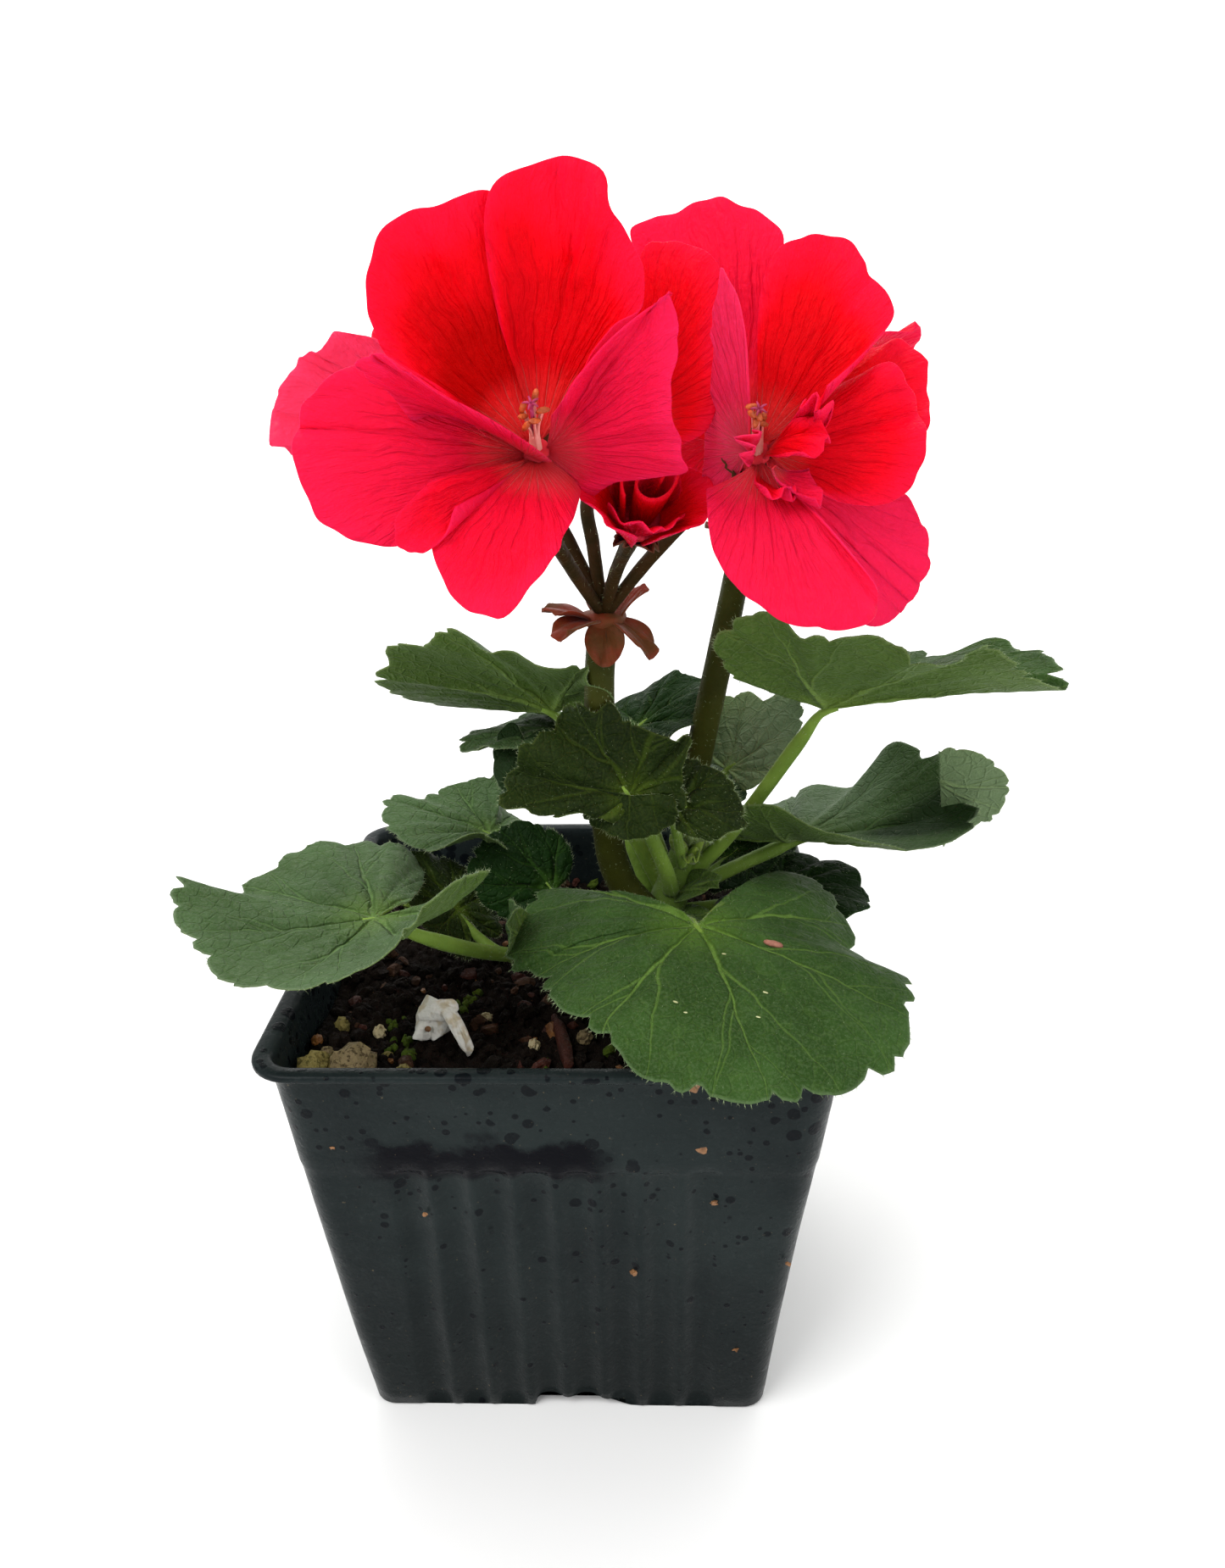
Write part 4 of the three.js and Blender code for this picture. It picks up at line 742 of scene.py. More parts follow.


# Joint of blade and petiole, tip of the midrib, where the upper face looks, and the petiole's route back to
# the stem. Width is across the blade where it isn't round; shade holds patches of painted shade and light.
leaves = [
    {"root": (22, -25, 91), "tip": (31, -55, 80.5), "face": (0.12, -0.3, 1), "teeth": 26, "curl": 25,
     "back": 15, "bend": (-20, -35), "wavy": 0.2, "route": [(20.5, -16, 86), (18.5, -3, 80)], "big": True,
     "bits": [(-9.7, 6.9, 1.5, 3), (-1.2, 8.1, 0.35, 4), (8.2, 15.8, 0.4, 4), (7.5, 17.3, 0.3, 4),
              (-4.6, 16.7, 0.4, 4), (-2.7, 20.4, 0.35, 4)],
     "flaps": [{"root": (-5, -17, 83), "tip": (-6, -24, 93), "face": (-0.9, -0.1, 0.3), "width": 10,
                "teeth": 7, "curl": 70, "wavy": 0.6, "sinus": 60}],
     "rim": [(-127, 9, -0.3), (-126, 17, -0.5), (-130, 27, -0.8), (-132, 30.8, -0.8), (-125, 31.1, -0.2),
             (-115, 31.2, -0.3), (-106, 30.6, -1.6), (-97, 30.1, -2.6), (-84, 28.5, -3.7),
             (-75, 29.7, -2.2), (-65, 33.3, 0.4), (-56, 34, 1.1), (-49, 34.5, 0.9), (-34, 36.3, 0.4),
             (-23, 35.3, -0.4), (-13, 33.6, -0.7), (3, 32.7, -0.8), (9, 31.9, -0.5), (18, 31.4, 0),
             (30, 30.5, 0.7), (42, 27.2, 1.8), (57, 25.9, 1.7), (78, 25.6, 0.3), (92, 25.7, -1.2),
             (102, 27.4, -1.8), (103, 30.1, -1), (112, 31.1, -0.4), (122, 30.7, -0.5), (135, 31.1, -0.1),
             (141, 30.9, -0.3), (144, 20.5, -0.2), (150, 15, -0.1), (159, 5, 0)]},
    {"root": (-28, -24, 92), "tip": (-54, -37, 96), "face": (0.12, -0.02, 1), "width": 54,
     "upper": "leafGreyAndSheen", "teeth": 24, "curl": -15, "back": -25, "sinus": 14, "bend": (15, 12), "wavy": 0.2,
     "shade": [(2, 20, 13, 0.3), (14, 4, 8, 0.35)], "route": [(-21, -22, 87), (-8, -12, 78), (12.5, 0, 74)],
     "big": True,
     "rim": [(-165, 9, 1), (-152, 17, 5), (-140, 22, 8.5), (-130, 24.5, 10.5), (-118, 25.4, 12),
             (-109, 25.9, 12.3), (-101, 25.9, 11), (-93, 25.9, 9), (-87, 26, 7.1), (-83, 26.4, 5.8),
             (-77, 27.1, 4.4), (-69, 27.4, 3), (-59, 27.9, 1.3), (-52, 28, 0.6), (-35, 28.5, -0.4),
             (-25, 28.2, -0.2), (-15, 28.1, 0), (-6, 27.4, 0.5), (2, 28.6, 0.5), (9, 30.2, 0.9),
             (17, 30.7, 1.5), (22, 30.8, 2), (26, 31.1, 2.2), (30, 29.4, 0.9), (35, 26.6, -1.3),
             (43, 24.9, -2.8), (50, 25.7, -2.8), (63, 26.7, -2.3), (78, 27.2, -1.9), (87, 27.9, -1.5),
             (96, 27.1, -2.3), (105, 26.7, -3.1), (113, 26.4, -4.1), (117, 25.6, -5.5), (119, 24.4, -7),
             (125, 19, -6), (135, 12, -3), (150, 7, -1)]},
    {"root": (43.5, -2, 118.5), "tip": (77, -10, 122.5), "face": (0, 0.3, 0.95), "width": 54, "teeth": 24,
     "curl": 12, "fold": 18, "sinus": 58, "bend": (5, 10), "wavy": 0.3,
     "shade": [(-6, -14, 13, 0.7), (-20, -2, 16, 0.6)], "route": [(40, 0, 112), (28, 2, 93), (21, 3, 85)],
     "big": True,
     "rim": [(-122, 20, 0), (-110, 28, 1), (-90, 31, 1), (-66, 32.1, 0.4), (-55, 31.6, -0.3),
             (-49, 32, 0.7), (-44, 32.3, 2), (-41, 32.6, 3.3), (-36, 33.2, 4.6), (-29, 32.6, 4),
             (-22, 32.9, 4.4), (-18, 34.4, 5), (-9, 34.8, 4.5), (-2, 36.3, 3.4), (1, 36.3, 1),
             (6, 34.5, 0.4), (18, 32.1, 0.4), (28, 32.1, 0.7), (38, 32.7, 1.5), (42, 32.8, 1.4),
             (45, 32.2, 0), (49, 31.4, -1.9), (53, 31.2, -2.8), (58, 31.2, -2.9), (62, 31.4, -2.4),
             (66, 31.9, -1.2), (70, 32, -0.5), (73, 32.2, 0), (77, 31.9, -0.1), (81, 31.9, 0),
             (84, 32.2, 0.6), (87, 31.7, 0.6), (90, 31.8, 1.6), (93, 33.2, 4.5), (97, 33.6, 5.9),
             (103, 33.4, 6.1), (114, 30, 5), (122, 22, 2)]},
    {"root": (41, 9, 90), "tip": (75, 2, 101.5), "face": (-0.1, 0.05, 1), "width": 46, "teeth": 16,
     "upper": "leafGreyAndSheen", "curl": -20, "fold": 12, "sinus": 35, "bend": (20, 20), "wavy": 0.3,
     "route": [(34, 7, 87), (21.5, 2, 83)],
     "shade": [(1, 28, 10, 1.2), (5, 18, 6, 0.9), (-14, 8, 14, -0.4)],
     "flaps": [{"root": (64.5, 3, 103), "tip": (76, 2, 102), "face": (-0.35, 0.8, 0.35), "width": 22,
                "teeth": 9, "tint": -0.45,
                "rim": [(-77, 16.4, -0.7), (-65, 14, -0.2), (-51, 12.6, 0), (-37, 12.9, -0.2), (-19, 12, 0),
                        (-1, 11.4, 0), (18, 10.7, 0), (43, 9.6, -0.1), (66, 9.1, -0.2), (89, 8.7, -0.2),
                        (103, 8.1, -0.4)]}],
     "rim": [(-145, 18, -3), (-130, 26, -6), (-115, 28, -7), (-97, 28.6, -7.5), (-93, 30.1, -5.7),
             (-87, 30.4, -4.6), (-73, 29.3, -4.5), (-66, 29.7, -2.7), (-61, 31, 0.5), (-57, 32.9, 4.2),
             (-52, 33, 5.6), (-43, 32.4, 5.5), (-33, 31.8, 5.1), (-28, 33.8, 6.1), (-25, 34, 5.6),
             (-17, 33.3, 3.9), (-8, 33.3, 2.1), (-3, 31.9, 0.3), (3, 31.6, -1.5), (9, 31.4, -2.9),
             (25, 31.2, -3.9), (34, 31, -4.1), (46, 31, -3.7), (55, 31, -2.4), (64, 31, -1), (73, 31, 0.7),
             (80, 31, 2.2), (91, 31.3, 6.1), (110, 30, 6), (128, 27, 4), (145, 20, 2)]},
    {"root": (-1.5, 6, 115.5), "tip": (-31, 6, 122), "face": (0, 0.7, 0.75), "width": 44, "teeth": 20,
     "curl": 15, "fold": 5, "sinus": 62, "wavy": 0.3, "shade": [(8, 8, 13, 0.45)],
     "route": [(3, 6, 108), (12, 6, 92), (17, 5, 82)],
     "rim": [(-125, 18, -3), (-110, 26, -4), (-99, 28, -4.5), (-98, 29.2, -2.6), (-95, 29, -2.9),
             (-91, 28.3, -4.2), (-86, 28.1, -4.6), (-78, 28.5, -3.8), (-72, 29, -2.9), (-68, 28.1, -3.7),
             (-63, 28.3, -2.9), (-58, 29, -1.3), (-53, 29.5, -0.1), (-47, 29.2, -0.1), (-42, 28.3, -0.8),
             (-29, 29.5, 0.2), (-23, 30.4, 0.8), (-10, 29.5, 0.1), (-6, 30.3, -0.4), (9, 30.5, -1.1),
             (23, 29.6, -0.5), (39, 29.2, 0.7), (54, 28.6, 2.6), (60, 27.6, 4.3), (67, 24.5, 5.4),
             (95, 22, 5), (118, 17, 2)]},
    {"root": (0, 14, 109), "tip": (-19, 12, 107), "face": (0, 0.05, 1), "width": 24, "upper": "leafGreyAndSheen",
     "teeth": 12, "curl": 20, "sinus": 50, "wavy": 0.8, "route": [(7, 13, 98), (15, 7, 80)],
     "shade": [(2, 0, 7, 0.8)],
     "flaps": [{"root": (-7, 8, 109.5), "tip": (-9.5, 3, 101), "face": (-0.3, -0.9, 0.3), "width": 11,
                "teeth": 7, "curl": 20, "wavy": 0.5, "sinus": 60, "tint": 1}]},
    {"root": (-14, 10, 90.5), "tip": (-33, 14, 95), "face": (0, 0, 1), "width": 30, "upper": "leafGreyAndSheen",
     "teeth": 14, "curl": 10, "sinus": 55, "fold": 10, "wavy": 0.3,
     "route": [(-18, 5, 83), (-8, 4, 76), (12.5, 3, 73)], "stalk": 1,
     "rim": [(-110, 14, 2), (-90, 16.9, 3.8), (-77, 18.1, 0.4), (-68, 19, -2.1), (-47, 19.6, -2.7),
             (-28, 20.1, -1.5), (-8, 20.9, 0.4), (9, 19.3, 0.3), (18, 17.1, -0.8), (35, 17.2, -0.7),
             (54, 18.2, 0.5), (71, 18.8, 1.6), (79, 20.3, 2.7), (85, 15.6, -2.6), (110, 12, -1)]},
    {"root": (-2.5, 2, 83), "tip": (-11.5, 6, 93), "face": (0.1, -0.85, 0.5), "width": 25,
     "upper": "leafPaintedShade", "teeth": 14, "curl": 10, "wavy": 0.4, "route": [(3, 2, 79), (12.5, 1, 77)],
     "stalk": 1.1,
     "rim": [(-120, 5, 0), (-95, 8, 0.2), (-81, 10.8, 0.1), (-63, 13.5, 0.1), (-45, 15.6, 0.2),
             (-35, 15.9, 0.3), (-19, 15.4, 0.3), (1, 14.4, 0.2), (19, 13.4, 0.1), (39, 11.4, 0),
             (56, 10, -0.1), (72, 7.6, -0.2), (90, 4.4, -0.2)]},
    {"root": (11.5, -12, 107), "tip": (3, -9, 122), "face": (0, -0.95, 0.3), "width": 36,
     "upper": "leafOliveAndShade", "teeth": 18, "curl": 10, "bend": (15, 15), "sinus": 72, "wavy": 2.1, "waves": 9,
     "route": [(13.5, -9, 102), (17.5, -4, 90), (18.5, 0, 84)],
     "flaps": [{"root": (11.7, -12.3, 107.2), "tip": (11, -14.6, 100.6), "face": (-0.1, -0.9, 0.5),
                "width": 18, "teeth": 11, "curl": -25, "wavy": 0.9, "waves": 8, "sinus": 78}],
     "rim": [(-150, 3, 0), (-135, 4, 0.5), (-99, 5.6, 1), (-75, 7.6, 1.4), (-72, 9.9, 1.3), (-72, 11.9, 1),
             (-67, 15.5, 0.6), (-64, 17, 0.3), (-63, 19.2, -0.1), (-59, 19.9, -0.2), (-53, 19.5, -0.2),
             (-46, 19.4, -0.2), (-39, 18.8, -0.1), (-33, 18.4, -0.1), (-27, 17, 0), (-23, 17.2, 0),
             (-17, 16.7, 0), (-12, 17.3, 0), (-6, 17.2, 0.1), (1, 17.1, 0.2), (8, 14.8, 0.3),
             (17, 15.5, 0.5), (20, 13.7, 0.9), (24, 12, 1.4), (41, 11.7, 1.8), (52, 11.6, 2.1),
             (62, 11.5, 2.2), (66, 13.1, 2), (75, 13.9, 1.9), (81, 13.6, 1.9), (83, 12.3, 2), (93, 9, 1.5),
             (112, 8.5, 1), (127, 9.1, 0.8), (144, 6.3, 0.4), (155, 3, 0)]},
    {"root": (19, -11, 105), "tip": (28, -13, 104.5), "face": (0.2, -0.9, 0.4), "width": 18,
     "upper": "leafOliveAndShade", "teeth": 10, "curl": 10, "sinus": 30, "wavy": 0.6,
     "route": [(19, -8, 100), (20.5, 0, 89)], "stalk": 0.9,
     "rim": [(-125, 4, 0), (-109, 6.8, 0), (-90, 7.8, 0), (-73, 8.1, 0), (-51, 8.6, 0), (-34, 9.5, 0),
             (-18, 10.1, 0), (-2, 10.8, 0), (10, 11.5, 0), (22, 9.1, 0), (35, 8.5, 0), (53, 5.9, 0),
             (80, 4, 0)]},
    {"root": (17, 20, 95), "tip": (15, 37, 96), "face": (0, -0.1, 1), "width": 34, "upper": "leafPaintedShade",
     "teeth": 12, "curl": 25, "wavy": 1, "route": [(15.5, 13, 92), (17, 6, 84)]},
    # leaf 12 wears the underside's colour on top and a paler patch: painted light, for it lies in shade
    {"root": (29, 15, 101), "tip": (42, 19, 108), "face": (0, -0.55, 0.85), "width": 25,
     "upper": "leafUnder", "teeth": 12, "shade": [(0, 9, 20, -0.55)], "curl": 15, "wavy": 0.3,
     "route": [(28, 13, 95), (25, 7, 87), (21, 3.5, 83)],
     "rim": [(-115, 6, -1), (-90, 10, -1.5), (-71, 17, 1.5), (-59, 16.2, 1.5), (-47, 16.6, 1.7),
             (-36, 15.8, 1.5), (-27, 18, 2.3), (-17, 18.4, 2.3), (-6, 17.3, 1.6), (5, 15.2, 0.8),
             (21, 11.8, 0.3), (35, 9.8, 0.1), (60, 9, 0), (90, 7, 0)]},
    {"root": (30, 15, 84), "tip": (41, 24, 86), "face": (0, -0.1, 1), "width": 20, "upper": "leafPaintedShade",
     "teeth": 10, "curl": 20, "wavy": 0.8, "route": [(26, 11, 82), (20, 6, 79)], "stalk": 1},
    {"root": (38, 4, 83), "tip": (53, -2, 82), "face": (0.1, -0.2, 1), "width": 24, "upper": "leafPaintedShade",
     "teeth": 10, "curl": 20, "shade": [(0, 8, 14, 0.8)], "wavy": 0.6,
     "route": [(32, 4, 80), (20.5, 4, 78)], "stalk": 1},
    {"root": (-19, -3, 82), "tip": (-28, 2, 90), "face": (0.2, -0.3, 1), "width": 16, "upper": "leafOliveAndShade",
     "teeth": 10, "curl": 15, "wavy": 0.6, "route": [(-12, -7, 76), (0, -8, 73), (12, -1, 71)], "stalk": 1},
    {"root": (13, 14, 110), "tip": (26, 17, 117), "face": (-0.2, -0.3, 1), "width": 20, "upper": "leafPaintedShade",
     "teeth": 10, "curl": 15, "wavy": 0.8, "route": [(13, 12, 100), (18, 6.5, 85)], "stalk": 1},
]


# A measured margin: the angle from the midline, the reach and the lift of each of its points
def rimCurve(rim, spokes):
    angle, reach, lift = np.array(rim, float).T
    angle = np.radians(angle)
    return evenly(smoothCurve(np.stack([reach * np.sin(angle), reach * np.cos(angle), lift], -1)), spokes)


def leafOutline(length, half, shape, spokes, draw):
    if "rim" in shape:
        curve = rimCurve(shape["rim"], spokes)
    else:
        sweep = math.radians(180 - shape.get("sinus", 18))
        angle = np.linspace(-sweep, sweep, spokes)
        reach = length * (0.94 + 0.06 * np.cos(angle))
        reach = reach * (1 - 0.05 * (0.5 - 0.5 * np.cos(2 * np.pi * angle / veinGap)))
        reach = reach * (1 - 0.45 * np.abs(angle / sweep) ** 10)
        curve = np.stack([reach * np.sin(angle), reach * np.cos(angle), np.zeros(spokes)], -1)
    turns = shape["teeth"] * np.linspace(0, 1, spokes)
    turns = turns + 0.25 * np.sin(3.1 * turns + draw.uniform(0, 6))
    scallop = 1 - np.abs(np.sin(np.pi * turns)) ** 0.55
    depth = 0.075 * (1 + 0.4 * np.sin(2.3 * turns + 1))
    curve[:, :2] *= (1.015 - depth * scallop + 0.006 * np.sin(6 * np.pi * turns))[:, None]
    return curve * (half / length, 1, 1)


def pleats(shape):
    wavy, waves = shape.get("wavy", 0), shape.get("waves", 6)

    def wave(a, b, half, length):
        x, y = a / half, b / length
        square = x * x + y * y
        turn = np.arctan2(x, y)
        return wavy * square * np.sin(waves * turn) + 0.25 * wavy * square ** 2 * np.sin(17 * turn + 1)
    return wave


# Quilting: the main veins lie in shallow valleys, and the blade swells between them
def leafRelief(length, half):
    def relief(a, b, share):
        x = a * length / half
        reach = np.hypot(x, b)
        turn = np.abs((np.arctan2(x, b) + veinGap / 2) % veinGap - veinGap / 2)
        ahead, aside = reach * np.cos(turn), reach * np.sin(turn)
        fade = np.clip(1.1 - share, 0, 1)
        valley = -0.45 * np.exp(-(aside / 1.0) ** 2) * fade
        for start, degrees in ((0.3, 24), (0.5, 28)):
            slant = math.radians(degrees)
            off = np.abs((ahead - start * length) * math.sin(slant) - aside * math.cos(slant))
            valley = valley - 0.22 * np.exp(-(off / 0.8) ** 2) * fade
        quilt = 0.12 * np.sin(1.25 * x + 0.6 * b) * np.cos(1.1 * b - 0.5 * x)
        return valley + np.sin(np.pi * np.clip(share, 0, 1)) * (0.45 * np.sin(turn * 7.5) + quilt)
    return relief


def makeLeaf(number, shape):
    draw = np.random.default_rng(100 + number)
    place, length, half = bladePlace(shape, pleats(shape))
    spokes, rings = (217, 34) if shape.get("big") else (145, 22)
    outline = leafOutline(length, half, shape, spokes, draw)

    def flat(a, b):
        return np.stack([a * length / half, b, np.full(len(a), length)], -1)

    def flapFlat(a, b):
        return np.stack([a, b + 12, np.full(len(a), length)], -1)

    blade = fanSheet(place, outline, rings, 0.45, flat, leafRelief(length, half))
    x, y = blade["flatPlace"][:, 0], blade["flatPlace"][:, 1]
    # soft patches of painted shade (above 0) and painted light (below 0) on the blade
    for px, py, spread, amount in shape.get("shade", ()):
        blade["tint"] += amount * np.exp(-((x - px) ** 2 + (y - py) ** 2) / spread ** 2)
    blade["tint"] = np.clip(blade["tint"], -1, 1)
    down = -unit(shape["face"])
    start = place(np.array([0.0]), np.array([2.0]))[0] + down * 0.5
    joint = place(np.array([0.0]), np.array([-0.6]))[0] + down * 1.0
    radius = shape.get("stalk", 1.3)
    petiole = tubePart([start, joint, *shape["route"]], [0.5, radius, radius * 0.95, radius, radius * 1.15],
                       12, 30, 2, 0.03, 0.03, number)
    for side, density, long, lean in (("margin", 2.6, 0.7, 0.4), ("top", 0.066, 0.35, 0.5),
                                      ("bottom", 0.036, 0.35, 0.5)):
        growHairs(leafHairs, blade[side], int(len(blade[side]["points"]) * density), long, draw, lean)
    growHairs(stemHairs, petiole["skin"], 260, 0.6, draw)
    parts = [blade, petiole]
    top = blade["top"]
    count = len(top["points"])
    for a, b, size, slot in shape.get("bits", ()):
        nearest = np.argmin(np.hypot(x[:count] - a, y[:count] - b))
        spot, up = top["points"][nearest], top["out"][nearest]
        parts.append(lumpPart(spot + up * size * 0.1, (size * 0.55, size * 0.3, size),
                              unit(np.cross(up, (0.2, 1, 0))), draw, 0.12, 8, 10, slot, 2))
    for flap in shape.get("flaps", ()):
        flapPlace, long, wide = bladePlace(flap, pleats(flap))
        sheet = fanSheet(flapPlace, leafOutline(long, wide, flap, 97, draw), 16, 0.4, flapFlat)
        # one value over the whole flap: above 0 darker, painted shade; below 0 greyer and paler, painted
        # light
        sheet["tint"] += flap.get("tint", 0)
        parts.append(sheet)
        growHairs(leafHairs, sheet["margin"], None, 0.7, draw)
    makePiece(f"leaf{number:02d}", parts, [shape.get("upper", "leafUpper"), "leafUnder", "petiole", "seed",
                                           "paleSpeck"], [f"leaf_{number:02d}"])


